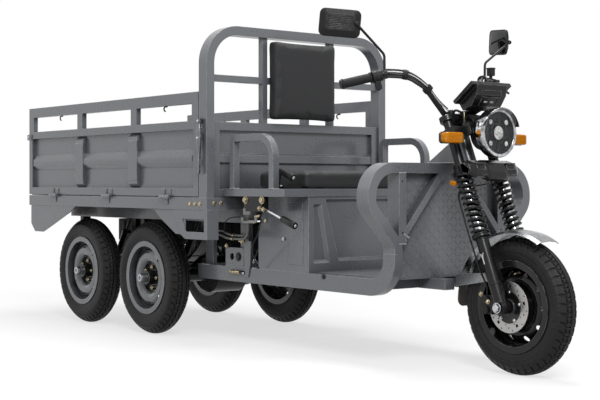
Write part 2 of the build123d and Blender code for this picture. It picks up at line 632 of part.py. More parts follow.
def upper_frame():
    """Long rails under the bed with their cross tubes."""
    inner = UPPER_RAIL_OUT - UPPER_RAIL_WIDTH
    frame = both(block(BED_FRONT + UPPER_RAIL_REAR, BED_FRONT, inner, UPPER_RAIL_OUT, UPPER_RAIL_BOTTOM,
                       BED_RAIL_BOTTOM))
    for x in UPPER_CROSS_TUBES:
        frame += cross_tube(x, inner, UPPER_RAIL_BOTTOM)
    return frame


def cross_tube(x, half, low):
    """Square tube across the frame, centred x before the bed's front face."""
    return block(BED_FRONT + x - CROSS_TUBE / 2, BED_FRONT + x + CROSS_TUBE / 2, -half, half, low,
                 low + CROSS_TUBE)


def frame_risers():
    """Four posts that carry the upper rails on the low ones."""
    posts = None
    for x in RISERS:
        post = block(BED_FRONT + x - RISER_DEPTH / 2, BED_FRONT + x + RISER_DEPTH / 2,
                     RAIL_OUT - RAIL_THICK, UPPER_RAIL_OUT, RAIL_TOP, UPPER_RAIL_BOTTOM)
        posts = post if posts is None else posts + post
    return both(posts) + rail_plates()


def rail_plates():
    """Two plates welded to the right low rail: a tapered stay and a flat one with its holes."""
    rail = -RAIL_OUT
    stay = side_plate([(BED_FRONT + x, z) for x, z in STAY_PLATE], rail - PLATE_THICK, rail)
    x0, x1 = (BED_FRONT + x for x in FLAT_PLATE)
    flat = block(x0, x1, rail, rail + PLATE_THICK, RAIL_TOP, FLAT_PLATE_TOP)
    for x in FLAT_PLATE_HOLES:
        flat -= cross_rod(BED_FRONT + x, FLAT_PLATE_HOLE_Z, rail - 1, rail + PLATE_THICK + 1, FLAT_PLATE_HOLE_R)
    return stay + flat


def guard_frame():
    """Bent loop across the front with its posts and braces."""
    x = BED_FRONT + LOOP_FRONT - LOOP_DEPTH / 2
    mid = RAIL_OUT - RAIL_THICK / 2
    half_path = [(mid, LOOP_JOIN), (mid, LOOP_PINCH), (LOOP_SPREAD, LOOP_SPREAD_Z), (LOOP_SPREAD, LOOP_TOP)]
    path = [(x, -y, z) for y, z in half_path] + [(x, y, z) for y, z in reversed(half_path)]
    radii = list(LOOP_BENDS) + list(reversed(LOOP_BENDS))
    frame = bent_bar(path, radii, LOOP_DEPTH, LOOP_TUBE, (1, 0, 0))
    front, back = BED_FRONT + LOOP_FRONT, BED_FRONT + LOOP_FRONT - LOOP_DEPTH
    under = LOOP_TOP - LOOP_TUBE / 2
    post = block(back, front, POST_IN, POST_OUT, LOOP_PINCH, under)
    brace_x = front - APRON_RECESS / 2
    post += bar((brace_x, BRACE_IN, under + 8), (brace_x, POST_IN + 12, BRACE_LOW), APRON_RECESS,
                BRACE_WIDTH, (1, 0, 0))
    middle = (POST_IN + POST_OUT) / 2
    for z in POST_HOLES:
        post -= rod((back - 1, middle, z), (front + 1, middle, z), POST_HOLE_R)
    return frame + both(post)


def head_tube():
    """Steering head on its gussets above the guard's top bar."""
    low, high = HEAD_TUBE
    tube = STEER * Pos(0, 0, (low + high) / 2) * Cylinder(HEAD_TUBE_R, high - low)
    bore = STEER * Pos(0, 0, (low + high) / 2) * Cylinder(STEM_R + RUN_CLEARANCE, high - low + 2)
    top = LOOP_TOP + LOOP_TUBE / 2
    back = BED_FRONT + LOOP_FRONT - LOOP_DEPTH
    web = side_plate([(back + x, top + z) for x, z in HEAD_WEB], -HEAD_WEB_HALF, HEAD_WEB_HALF)
    return web + tube - bore


def apron_plate():
    """Tread-plate apron between the guard's posts."""
    front = BED_FRONT + LOOP_FRONT - APRON_RECESS
    low_half = RAIL_OUT - RAIL_THICK
    corners = [(-low_half, RAIL_TOP), (low_half, RAIL_TOP), (low_half, LOOP_PINCH),
               (POST_IN, LOOP_PINCH), (POST_IN, LOOP_TOP - LOOP_TUBE / 2),
               (-POST_IN, LOOP_TOP - LOOP_TUBE / 2), (-POST_IN, LOOP_PINCH), (-low_half, LOOP_PINCH)]
    return cross_plate(corners, front - APRON_SHEET, front)


def footwell_floor():
    """Flat floor on the cross tubes, between the seat box, the low rails' bends and the apron."""
    half = RAIL_OUT - RAIL_THICK
    return block(BED_FRONT + BOX_FRONT, BED_FRONT + LOOP_FRONT - APRON_RECESS - APRON_SHEET, -half, half,
                 RAIL_TOP, RAIL_TOP + FLOOR_SHEET)


def box_outline(inset, top):
    """Side outline of the seat box, drawn in by an inset."""
    x0, x1 = BED_FRONT + BOX_REAR + inset, BED_FRONT + BOX_FRONT - inset
    low = RAIL_TOP + inset
    return [(x0, low), (x1, low), (x1, top), (x0 + BOX_SLOPE, top), (x0, BOX_SLOPE_LOW)]


def seat_box():
    """Folded sheet box under the seat, open at the top, with recesses pressed into its front."""
    front = BED_FRONT + BOX_FRONT
    box = side_plate(box_outline(0, SEAT_FRAME_LOW), -RAIL_OUT, RAIL_OUT)
    hollow = side_plate(box_outline(BOX_WALL, SEAT_FRAME_LOW + 5), -RAIL_OUT + BOX_WALL, RAIL_OUT - BOX_WALL)
    hollow -= block(front - BOX_PRESS - BOX_WALL, front, -RAIL_OUT, RAIL_OUT, RAIL_TOP, SEAT_FRAME_LOW + 6)
    box -= hollow
    boss = [(BED_FRONT + x, z) for x, z in BOX_BOSS]
    box += both(side_plate(boss, RAIL_OUT, RAIL_OUT + BOX_BOSS_HEIGHT))
    return box - box_recess(BOX_MIDDLE) - both(box_recess(BOX_SIDE))


def box_recess(corners):
    """Pocket with sloping sides behind (y, z) corners on the seat box's front face."""
    face = Plane.YZ.offset(BED_FRONT + BOX_FRONT) * make_face(Polyline(*corners, close=True))
    return extrude(face, amount=-BOX_PRESS, taper=BOX_PRESS_TAPER)


def battery_block():
    """Battery pack inside the seat box."""
    half = RAIL_OUT - BOX_WALL - BATTERY_MARGIN
    return block(BED_FRONT + BATTERY_REAR, BED_FRONT + BOX_FRONT - BATTERY_MARGIN, -half, half,
                 RAIL_TOP + BOX_WALL, BATTERY_TOP)


def seat_frame():
    """Rectangular ring of tube with two armrests."""
    x0, x1 = BED_FRONT + SEAT_FRAME_REAR, BED_FRONT + SEAT_FRAME_FRONT
    t = SEAT_FRAME_TUBE
    half = SEAT_FRAME_HALF
    ring = block(x0, x1, -half, half, SEAT_FRAME_LOW, SEAT_FRAME_HIGH)
    ring -= block(x0 + t, x1 - t, -half + t, half - t, SEAT_FRAME_LOW - 1, SEAT_FRAME_HIGH + 1)
    ring += block(BED_FRONT, x0, -half + SEAT_TONGUE_IN, half - SEAT_TONGUE_IN, SEAT_FRAME_LOW, SEAT_FRAME_HIGH)
    ring += both(block(x0 + t, x1 - t, SEAT_SLAT_Y - SEAT_SLAT / 2, SEAT_SLAT_Y + SEAT_SLAT / 2,
                       SEAT_FRAME_LOW, SEAT_FRAME_HIGH))
    y = half - ARM_TUBE / 2
    top = ARM_TOP - ARM_TUBE / 2
    arm = bent_bar([(BED_FRONT + ARM_REAR, y, SEAT_FRAME_HIGH), (BED_FRONT + ARM_REAR, y, top),
                    (BED_FRONT + ARM_FRONT, y, top), (BED_FRONT + ARM_FRONT, y, SEAT_FRAME_HIGH)],
                   [ARM_BEND_REAR, ARM_BEND_FRONT], ARM_TUBE, ARM_TUBE, (0, 1, 0))
    return ring + both(arm)


def seat_cushion():
    """Plain bench pad on the seat frame."""
    x0, x1 = BED_FRONT + SEAT_REAR, BED_FRONT + SEAT_FRONT
    pad = block(x0, x1, -SEAT_HALF, SEAT_HALF, SEAT_FRAME_HIGH + SOFT_GAP, SEAT_TOP)
    return fillet(pad.edges().filter_by(Axis.Z), SEAT_ROUND)


def backrest():
    """Plain back pad in front of the hoop's uprights."""
    back = BED_FRONT - HOOP_RAIL_BACK + SOFT_GAP
    top = HOOP_TOP - HOOP_TUBE - BACKREST_AIR
    pad = block(back, back + BACKREST_DEPTH, -BACKREST_HALF, BACKREST_HALF, BACKREST_LOW, top)
    return fillet(pad.edges().filter_by(Axis.X), SEAT_ROUND)


# ---- rear axles and suspension ------------------------------------------------------------------------
def rear_axle(x):
    """Axle tube with its motor and gear housing, brake backs and two wheel spindles."""
    z = REAR_TYRE_R
    inner = REAR_WHEEL_Y - REAR_TYRE_WIDTH / 2 - AXLE_END_GAP
    axle = cross_rod(x, z, -inner, inner, AXLE_TUBE_R)
    for right, left, radius in (MOTOR, GEARBOX):
        axle += cross_rod(x, z, right, left, radius)
    axle += both(cross_rod(x, z, inner - 2, REAR_WHEEL_Y + SPINDLE_END - 2, SPINDLE_R))
    axle += both(cross_rod(x, z, inner - BRAKE_BACK, inner, BRAKE_BACK_R))
    return axle


def leaf_pack(x):
    """Stack of curved leaves over one axle with the pad, the clamp plate and the spring hangers."""
    seat = REAR_TYRE_R + AXLE_TUBE_R + 12
    y0, y1 = SPRING_Y - SPRING_WIDTH / 2, SPRING_Y + SPRING_WIDTH / 2
    pack = block(x - SPRING_PAD, x + SPRING_PAD, y0 - 2, y1 + 2, REAR_TYRE_R + 10, seat)
    pack += block(x - SPRING_PAD / 2, x + SPRING_PAD / 2, DAMPER_Y - DAMPER_ROD_R, y0, REAR_TYRE_R + 10,
                  DAMPER_LOW)
    pack -= cross_rod(x, REAR_TYRE_R, DAMPER_Y - 30, y1 + 6, AXLE_TUBE_R)
    for half, place in LEAVES:
        drop = seat + LEAF_THICK / 2 + (len(LEAVES) - 1 - place) * LEAF_THICK
        lift = SPRING_RISE * (half / LEAVES[0][0]) ** 2
        path = ThreePointArc((x - half, SPRING_Y, drop + lift), (x, SPRING_Y, drop),
                             (x + half, SPRING_Y, drop + lift))
        section = Plane(origin=path @ 0, x_dir=(0, 1, 0), z_dir=path % 0) * Rectangle(
            SPRING_WIDTH, LEAF_THICK + 0.4)
        pack += sweep(section, path=path)
    top = seat + len(LEAVES) * LEAF_THICK
    pack += block(x - SPRING_PAD, x + SPRING_PAD, y0 - 2, y1 + 2, top, top + SPRING_CLAMP)
    eye = top - LEAF_THICK / 2 + SPRING_RISE
    for side in (-1, 1):
        end = x + side * LEAVES[0][0]
        pack += cross_rod(end, eye, y0, y1, SPRING_EYE_R)
        pack += block(end - SPRING_EYE_R - 2, end + SPRING_EYE_R + 2, y0, y1, eye, UPPER_RAIL_BOTTOM)
    return pack


def damper(x):
    """Slanted damper from the spring pad to a pin on the upper rail's inner face."""
    low, high = Vector(x, DAMPER_Y, DAMPER_LOW), Vector(x + DAMPER_LEAN, DAMPER_Y, DAMPER_TOP)
    split = low + (high - low) * DAMPER_SPLIT
    body = rod(tuple(low), tuple(split), DAMPER_R) + rod(tuple(split), tuple(high), DAMPER_ROD_R)
    pin = cross_rod(high.X, high.Z, DAMPER_Y - DAMPER_R, UPPER_RAIL_OUT - UPPER_RAIL_WIDTH, DAMPER_R * 0.7)
    return body + pin


def rear_suspension():
    """Four leaf packs, each with its slanted damper."""
    parts = None
    for x in REAR_AXLES:
        side = both(leaf_pack(x) + damper(x))
        parts = side if parts is None else parts + side
    return parts


# ---- controls between the bed and the seat box --------------------------------------------------------
def hand_levers():
    """Parking brake under the seat frame's right beam, its pull spring, and the gear lever by the bench."""
    x0, x1 = (BED_FRONT + x for x in BRAKE_BRACKET_X)
    y0, y1 = BRAKE_BRACKET_Y
    parts = block(x0, x1, y0, y1, BRAKE_BRACKET_LOW, SEAT_FRAME_LOW)
    for x in (x0, x1):
        parts += cross_rod(x, SEAT_FRAME_LOW - BRAKE_EAR_R, y0, y0 + BRAKE_EAR_THICK, BRAKE_EAR_R)
    start, knee, end = ((BED_FRONT + x, y, z) for x, y, z in BRAKE_LEVER)
    parts += rod(start, knee, BRAKE_ROD_R) + rod(knee, end, BRAKE_GRIP_R)
    x, length, z = BRAKE_SPRING
    rail = -RAIL_OUT
    parts += rod((BED_FRONT + x, rail - BRAKE_SPRING_R, z), (BED_FRONT + x + length, rail - BRAKE_SPRING_R, z),
                 BRAKE_SPRING_R)
    x0, x1 = (BED_FRONT + x for x in GEAR_FOOT_X)
    beam = -SEAT_FRAME_HALF + SEAT_FRAME_TUBE
    foot = block(x0, x1, beam, beam + GEAR_FOOT_WIDTH, SEAT_FRAME_LOW, SEAT_FRAME_HIGH + GEAR_FOOT_RISE)
    start, knee, end = ((BED_FRONT + x, beam + GEAR_FOOT_WIDTH / 2, z) for x, z in GEAR_LEVER)
    return parts + foot + rod(start, knee, BRAKE_ROD_R) + rod(knee, end, GEAR_GRIP_R)


def hose(points, radius):
    """Bent tube with each arc as large as its two runs allow."""
    corners = [Vector(*point) for point in points]
    radii = []
    for before, corner, after in zip(corners, corners[1:], corners[2:]):
        run_in, run_out = corner - before, after - corner
        turn = radians(run_in.get_angle(run_out))
        radii.append(HOSE_ARC * min(run_in.length, run_out.length) / tan(turn / 2))
    return bent_rod(points, radii, radius)


def brake_hoses():
    """Two hoses from a block under the seat frame's rear beam back to the riser, side by side."""
    x, y, width = HOSE_STUB
    hoses = block(BED_FRONT + x - width / 2, BED_FRONT + x + width / 2, y - width / 4, y + width / 4,
                  HOSE_TOP, SEAT_FRAME_LOW)
    end = RISERS[0] + RISER_DEPTH / 2
    for route in HOSE_ROUTES:
        points = [(BED_FRONT + px, py, pz) for px, py, pz in route]
        last = points[-1]
        hoses += hose([(points[0][0], points[0][1], HOSE_TOP)] + points + [(BED_FRONT + end, last[1], last[2])],
                      HOSE_R)
    return hoses


# ---- lamps at the rear --------------------------------------------------------------------------------
def tail_lamps():
    """Two plain lamp blocks hung under the rear rail."""
    (x0, x1), (y0, y1) = TAIL_LAMP_X, TAIL_LAMP_Y
    lamp = block(BED_REAR + x0, BED_REAR + x1, y0, y1, TAIL_LAMP_LOW, BED_RAIL_BOTTOM)
    return both(lamp)


# ---- fork ---------------------------------------------------------------------------------------------
def upright(y, x, z0, z1, radius):
    """Round bar along the steering axis's direction, in the steering frame."""
    return Pos(x, y, (z0 + z1) / 2) * Cylinder(radius, z1 - z0)


def fork():
    """Lower legs, clamps, upper tubes, stem and front axle."""
    lower = upright(LEG_Y, AXLE_OFFSET, 0, LEG_TOP, LEG_R)
    lower += Pos(AXLE_OFFSET, LEG_Y, 0) * Rot(90, 0, 0) * Cylinder(LEG_R, LEG_FOOT)
    depth, low, high = FENDER_LUG
    lower += block(AXLE_OFFSET - depth / 2, AXLE_OFFSET + depth / 2, FENDER_HALF + STAY_SEAT, LEG_Y, low, high)
    upper = upright(LEG_Y, AXLE_OFFSET, LOWER_CLAMP[1], UPPER_CLAMP[0], UPPER_TUBE_R)
    upper += block(COLLAR_X[0], COLLAR_X[1], LEG_Y - COLLAR_HALF, LEG_Y + COLLAR_HALF, COLLAR_Z[0], COLLAR_Z[1])
    legs = both(lower) + both(upper)
    clamps = None
    for low, high in (LOWER_CLAMP, UPPER_CLAMP):
        rounds = (Pos(AXLE_OFFSET, LEG_Y) * Circle(CLAMP_R) + Pos(AXLE_OFFSET, -LEG_Y) * Circle(CLAMP_R)
                  + Pos(-CLAMP_BACK, 0) * Circle(CLAMP_R))
        plate = extrude(Pos(0, 0, low) * make_hull(rounds.edges()), amount=high - low)
        clamps = plate if clamps is None else clamps + plate
    stem = upright(0, 0, LOWER_CLAMP[0], UPPER_CLAMP[1], STEM_R)
    axle = Pos(AXLE_OFFSET, 0, 0) * Rot(90, 0, 0) * Cylinder(FRONT_AXLE_R, 2 * (LEG_Y + LEG_R + AXLE_END))
    radius, height = AXLE_NUT
    nuts = both(Pos(AXLE_OFFSET, LEG_Y + LEG_R + AXLE_END + 1 - height / 2, 0) * Rot(90, 0, 0)
                * Cylinder(radius, height))
    depth, width = BAR_RISER
    riser = block(BAR_X - depth, BAR_X + depth, BAR_CLAMP_Y - width, BAR_CLAMP_Y + width, UPPER_CLAMP[1],
                  BAR_Z + depth)
    riser -= Pos(BAR_X, BAR_CLAMP_Y, BAR_Z) * Rot(90, 0, 0) * Cylinder(BAR_R, 30)
    reach, inner, outer = CALIPER_LUG
    lug = block(-DISC_R + reach, -LEG_R / 2, -LEG_Y + inner, -LEG_Y + LEG_R - outer, *CALIPER_LUG_Z)
    return STEER * (legs + clamps + stem + axle + nuts + both(riser)) + Pos(
        FRONT_AXLE_X, 0, FRONT_AXLE_Z) * lug


def coil_stack(radius, wire, z0, z1, turns):
    """Evenly spaced rings that stand for the turns of a spring."""
    rings = None
    for count in range(turns):
        ring = Pos(0, 0, z0 + (count + 0.5) * (z1 - z0) / turns) * Torus(radius, wire)
        rings = ring if rings is None else rings + ring
    return rings


def fork_springs():
    """Bright tubes with their outer springs."""
    low, high = LEG_TOP, LOWER_CLAMP[0]
    main = upright(0, 0, low, high, TUBE_R)
    main += upright(0, 0, low, low + SEAT_RING, COIL_R + COIL_WIRE_R)
    main += upright(0, 0, high - SEAT_RING, high, COIL_R + COIL_WIRE_R)
    main += upright(0, 0, low + SEAT_RING, high - SEAT_RING, COIL_R - COIL_WIRE_R + 1.5)
    main += coil_stack(COIL_R, COIL_WIRE_R, low + SEAT_RING, high - SEAT_RING, COIL_TURNS)
    return STEER * both(Pos(AXLE_OFFSET, LEG_Y, 0) * main)


def crowned_strip(outer, thick, front, rear):
    """Strip round the front axle from (radius, y) corners of its face, between two angles."""
    inner = [(r - thick, y) for r, y in reversed(outer)]
    face = make_face(Polyline(*(outer + inner), close=True))
    strip = revolve(face, axis=Axis.Y, revolution_arc=rear - front)
    return Rot(0, -rear, 0) * strip


def front_fender():
    """Crowned guard over the front tyre, with a stay from each leg."""
    face = [(FENDER_EDGE_R, -FENDER_HALF)] + list(FENDER_CROWN) + [(FENDER_EDGE_R, FENDER_HALF)]
    sheet = crowned_strip(face, FENDER_SHEET, FENDER_FRONT, FENDER_REAR)
    stay = side_plate(FENDER_STAY, FENDER_HALF - STAY_SHEET, FENDER_HALF + STAY_SEAT)
    return Pos(FRONT_AXLE_X, 0, FRONT_AXLE_Z) * (sheet + both(stay))


def mud_flap():
    """Rubber flap under the fender's rear end."""
    face = [(r - FENDER_SHEET, y) for r, y in FENDER_CROWN]
    flap = crowned_strip(face, FLAP_THICK, FENDER_REAR - FLAP_LAP, FLAP_END)
    return Pos(FRONT_AXLE_X, 0, FRONT_AXLE_Z) * flap


def brake_caliper():
    """Caliper behind the axle on the right leg, its slot round the disc and two piston bosses."""
    y0, y1 = DISC_Y - CALIPER_OUT, DISC_Y + CALIPER_IN
    half_slot = DISC_THICK / 2 + DISC_AIR
    x0, x1 = -DISC_R - CALIPER_OVER, -DISC_R + CALIPER_REACH
    body = block(x0, x1, y0, y1, CALIPER_LOW, CALIPER_TOP)
    body -= block(-DISC_R - DISC_AIR, x1 + 4, DISC_Y - half_slot, DISC_Y + half_slot, CALIPER_LOW - 1,
                  CALIPER_TOP + 1)
    for z in (CALIPER_LOW + CALIPER_BOSS_R, CALIPER_TOP - CALIPER_BOSS_R - 2):
        body += cross_rod(-DISC_R + 6, z, y0 - CALIPER_BOSS, y0 + 1, CALIPER_BOSS_R)
    return Pos(FRONT_AXLE_X, 0, FRONT_AXLE_Z) * body


def headlight():
    """Lamp bowl with its bezel and peak, and the ears on the fork's collars."""
    inner, peak_r = LAMP_R - LAMP_BEZEL, LAMP_R + LAMP_PEAK_SHEET
    bowl = [(0, -LAMP_DEPTH), (LAMP_R * 0.34, -LAMP_DEPTH), (LAMP_R * 0.7, -LAMP_DEPTH * 0.78),
            (inner, -LAMP_RIM - 8), (LAMP_R, -LAMP_RIM), (LAMP_R, 0), (inner, 0), (inner, -LAMP_GLASS),
            (0, -LAMP_GLASS)]
    peak = revolve(make_face(Polyline((LAMP_R, -LAMP_RIM / 2), (peak_r, -LAMP_RIM / 2), (peak_r, LAMP_PEAK),
                                      (LAMP_R, LAMP_PEAK), close=True)),
                   axis=Axis.Y, revolution_arc=LAMP_PEAK_ARC)
    peak = Rot(0, -LAMP_PEAK_ARC - LAMP_PEAK_TURN, 0) * peak
    lamp = Pos(BED_FRONT + LAMP_FACE, 0, LAMP_Z) * Rot(0, 0, -90) * (turned(bowl) + peak)
    ear = block(COLLAR_X[1], COLLAR_X[1] + LAMP_EAR, LEG_Y - COLLAR_HALF, LEG_Y - 12, COLLAR_Z[0] - 14,
                COLLAR_Z[1] - 6)
    return lamp + STEER * both(ear)


def signal_lamps():
    """Amber side signals on short stalks."""
    x, z = BED_FRONT + SIGNAL_X, SIGNAL_Z
    stalk_y = LEG_Y + COLLAR_HALF
    body, neck = SIGNAL_BODY / 2, SIGNAL_NECK / 2
    rise = SIGNAL_HEIGHT / 2
    lamp = block(x - body, x + body, stalk_y + SIGNAL_NECK, SIGNAL_OUT, z - rise, z + rise)
    lamp += block(x - neck, x + neck, stalk_y, stalk_y + SIGNAL_NECK, z - neck, z + neck)
    lamp += block(x - SIGNAL_ARM, x + neck, stalk_y, stalk_y + SIGNAL_ARM_THICK, z - neck / 2, z + neck)
    return both(lamp)


def fork_cowl():
    """Faceted cover before the lower clamp, with side wings, hollowed round the spring seats."""
    cowl = STEER_SIDE * make_face(Polyline(*COWL_PROFILE, close=True))
    cowl = extrude(cowl, amount=COWL_HALF, both=True)
    wing = STEER_SIDE * make_face(Polyline(*COWL_WING, close=True))
    wing = Pos(0, -COWL_HALF, 0) * extrude(wing, amount=COWL_WING_SHEET)
    spring = upright(LEG_Y, AXLE_OFFSET, COWL_PROFILE[1][1] - 5, LOWER_CLAMP[0], COIL_R + COIL_WIRE_R + 1)
    return STEER * (cowl + both(wing) - both(spring))


def bar_points(side):
    """Corners of one half of the handlebar, from its middle outwards."""
    return [(BED_FRONT + x, side * y, z) for x, y, z in BAR_POINTS]


def handlebar():
    """Raised bar of one bent tube in its clamp."""
    middle = (STEER * Pos(BAR_X, 0, BAR_Z)).position
    inner = BAR_CLAMP_Y + 25
    points = bar_points(1)[::-1] + [(middle.X, inner, middle.Z), (middle.X, -inner, middle.Z)] + bar_points(-1)
    path = FilletPolyline(*points, radius=BAR_BEND)
    return sweep(Plane(origin=path @ 0, z_dir=path % 0) * Circle(BAR_R), path=path)


def bar_end(back, ahead, radius):
    """Round sleeve on the left end of the bar, between two distances from the bar's end."""
    start, end = Vector(*bar_points(1)[-2]), Vector(*bar_points(1)[-1])
    along = (end - start).normalized()
    return rod(tuple(end - along * back), tuple(end - along * ahead), radius)


def bar_spot(back, ahead):
    """Point beside the left end of the bar: so far back from its end and so far before it."""
    start, end = Vector(*bar_points(1)[-2]), Vector(*bar_points(1)[-1])
    along = (end - start).normalized()
    forward = Vector(along.Y, -along.X, 0).normalized()
    return end - along * back + forward * ahead


def hand_grips():
    """Grips and switch pods, with the master cylinder and brake lever on the left one."""
    pod = GRIP_LENGTH + POD_LENGTH + POD_GAP
    grip = bar_end(GRIP_LENGTH, -GRIP_END, GRIP_R) + bar_end(pod, GRIP_LENGTH + POD_GAP, GRIP_R + 4)
    bore = bar_end(pod + 16, 0, BAR_R)
    box = rod(tuple(bar_spot(pod, MASTER_AHEAD)), tuple(bar_spot(GRIP_LENGTH + POD_GAP, MASTER_AHEAD)),
              MASTER_R)
    box += rod(tuple(bar_spot(pod - POD_LENGTH / 2, BAR_R)), tuple(bar_spot(pod - POD_LENGTH / 2, MASTER_AHEAD)),
               MASTER_R * 0.8)
    lever = rod(tuple(bar_spot(GRIP_LENGTH + POD_GAP + 2, MASTER_AHEAD)), tuple(bar_spot(GRIP_END, LEVER_AHEAD)),
                LEVER_R)
    return both(grip - bore) + (box + lever - bore)


def brake_line():
    """Brake line from the master cylinder down the left leg and across to the caliper."""
    pod = GRIP_LENGTH + POD_LENGTH + POD_GAP
    start, straight = bar_spot(pod, MASTER_AHEAD), bar_spot(pod + LINE_RISE / 2, MASTER_AHEAD)
    middle = [(STEER * Pos(*point)).position for point in LINE_ROUTE]
    x, y = FRONT_AXLE_X - DISC_R, DISC_Y - CALIPER_OUT / 2
    top = FRONT_AXLE_Z + CALIPER_TOP
    points = [start, straight] + middle + [Vector(x, y, top + LINE_RISE), Vector(x, y, top)]
    return hose([tuple(point) for point in points], LINE_R)


def mirror_arm(side, ball, sweep, tilt):
    """Perch, bent stem and swept head of the mirror on one side, from its ball joint."""
    perch = bar_end(PERCH_BACK + 8, PERCH_BACK - 8, BAR_R + 7) - bar_end(PERCH_BACK + 12, PERCH_BACK - 12, BAR_R)
    foot = bar_spot(PERCH_BACK, 0)
    joint = Vector(BED_FRONT + ball[0], ball[1], ball[2])
    stem = bent_rod([(foot.X, foot.Y, foot.Z + BAR_R + 2), (foot.X, foot.Y + 1, foot.Z + MIRROR_NECK),
                     (joint.X, joint.Y, joint.Z)], [MIRROR_BEND], MIRROR_STEM_R)
    turn, lift = radians(sweep), radians(tilt)
    outward = Vector(-sin(turn) * cos(lift), cos(turn) * cos(lift), sin(lift))
    forward = Vector(cos(turn), sin(turn), 0)
    centre = joint + outward * (MIRROR_WIDTH / 2 - MIRROR_BALL_IN) - forward * MIRROR_DOME
    face = Plane(origin=centre, x_dir=outward, z_dir=forward)
    rim = extrude(face * RectangleRounded(MIRROR_WIDTH, MIRROR_HEIGHT, MIRROR_ROUND), amount=-MIRROR_RIM)
    inner = RectangleRounded(MIRROR_WIDTH - 2 * MIRROR_TAPER, MIRROR_HEIGHT - 2 * MIRROR_TAPER, MIRROR_ROUND / 2)
    dome = loft([face * RectangleRounded(MIRROR_WIDTH, MIRROR_HEIGHT, MIRROR_ROUND),
                 face.offset(MIRROR_DOME) * inner])
    arm = perch + stem + rim + dome + Pos(joint.X, joint.Y, joint.Z) * Sphere(MIRROR_BALL_R)
    return arm if side > 0 else mirror(arm, about=Plane.XZ)


def mirrors():
    """Two mirrors on bent stems, each turned its own way."""
    right, left = (mirror_arm(*row) for row in MIRRORS)
    return right + left


def display():
    """Flat instrument that faces the rider, its tapered shell and the bracket from the upper clamp."""
    tilt = radians(DISPLAY_TILT)
    low = (BED_FRONT + DISPLAY_LOW[0], DISPLAY_LOW[1])
    high = (low[0] + DISPLAY_LENGTH * cos(tilt), low[1] + DISPLAY_LENGTH * sin(tilt))
    back_low = (low[0] + DISPLAY_THICK * sin(tilt), low[1] - DISPLAY_THICK * cos(tilt))
    back_high = (high[0] + DISPLAY_THICK * sin(tilt), high[1] - DISPLAY_THICK * cos(tilt))
    screen = side_plate([low, high, back_high, back_low], -DISPLAY_HALF, DISPLAY_HALF)
    under = [(back_low[0] + x, back_low[1] + z) for x, z in DISPLAY_SHELL]
    shell = side_plate([back_low, back_high] + under, -DISPLAY_SHELL_HALF, DISPLAY_SHELL_HALF)
    plate = STEER * block(*DISPLAY_PLATE, UPPER_CLAMP[1], UPPER_CLAMP[1] + 8)
    return screen + shell + plate


# ---- wheels -------------------------------------------------------------------------------------------
def tyre(radius, width):
    """Tyre section: bead, sidewall, shoulder and crown."""
    bead = rim_half(width) - RIM_FLANGE
    half = width / 2
    side = [(RIM_SEAT_R, bead), (RIM_FLANGE_R + 1, bead), (RIM_FLANGE_R + 10, half - 3),
            (RIM_FLANGE_R + 45, half), (radius - 15, half - 9), (radius, half * 0.5)]
    return turned(side + [(r, -y) for r, y in reversed(side)])


def rim_half(width):
    """Half the width over a rim's flanges."""
    return width / 2 - 4


def rim(width, profile, holes):
    """Rim barrel with flanges and a pressed disc from (radius, y) points, with round holes."""
    half = rim_half(width)
    seat, flange, wall = RIM_SEAT_R, RIM_FLANGE_R, RIM_WALL
    barrel = turned([(seat - wall, -half), (flange, -half), (flange, -half + RIM_FLANGE),
                     (seat, -half + RIM_FLANGE), (seat, half - RIM_FLANGE), (flange, half - RIM_FLANGE),
                     (flange, half), (seat - wall, half)])
    back = [(r, y - wall) for r, y in reversed(profile)]
    wheel = barrel + turned(list(profile) + back)
    count, ring, radius = holes
    for number in range(count):
        wheel -= Rot(0, 360 / count * number, 0) * cross_rod(ring, 0, -half, half, radius)
    return wheel


def rear_rim():
    """Rear rim on the left side, with its closed hub, five nuts and cap outwards along Y."""
    wheel = rim(REAR_TYRE_WIDTH, REAR_DISC, REAR_HOLES)
    wheel += cross_rod(0, 0, -HUB_IN, HUB_FACE, HUB_R) + cross_rod(0, 0, HUB_FACE, HUB_OUT, HUB_BOSS_R)
    wheel += cross_rod(0, 0, HUB_OUT, HUB_CAP_OUT, HUB_CAP_R)
    nut = extrude(Plane.XZ * Pos(NUT_RING, 0, 0) * RegularPolygon(NUT_R, 6), amount=-(HUB_FACE + NUT_HEIGHT))
    nut -= cross_rod(NUT_RING, 0, -1, HUB_FACE - 1, NUT_R + 1)
    for number in range(NUTS):
        wheel += Rot(0, 360 / NUTS * number, 0) * nut
    return wheel - cross_rod(0, 0, -HUB_IN - 1, SPINDLE_END, SPINDLE_R + RUN_CLEARANCE)


def front_rim():
    """Front rim with an open hub on the axle, its disc dished towards the right."""
    wheel = rim(FRONT_TYRE_WIDTH, FRONT_DISC, FRONT_HOLES)
    wheel += cross_rod(0, 0, -FRONT_HUB, FRONT_HUB, HUB_R)
    wheel -= cross_rod(0, 0, -FRONT_HUB - 1, FRONT_HUB + 1, FRONT_AXLE_R + RUN_CLEARANCE)
    return mirror(wheel, about=Plane.XZ)


def brake_disc():
    """Drilled disc on the right face of the front hub."""
    inner = FRONT_AXLE_R + DISC_BORE_AIR
    disc = turned([(inner, DISC_Y + DISC_THICK / 2), (DISC_R, DISC_Y + DISC_THICK / 2),
                   (DISC_R, DISC_Y - DISC_THICK / 2), (inner, DISC_Y - DISC_THICK / 2)])
    carrier = turned([(inner, DISC_Y + DISC_THICK / 2), (CARRIER_R, DISC_Y + DISC_THICK / 2),
                      (CARRIER_R, -FRONT_HUB), (inner, -FRONT_HUB)])
    return disc + carrier


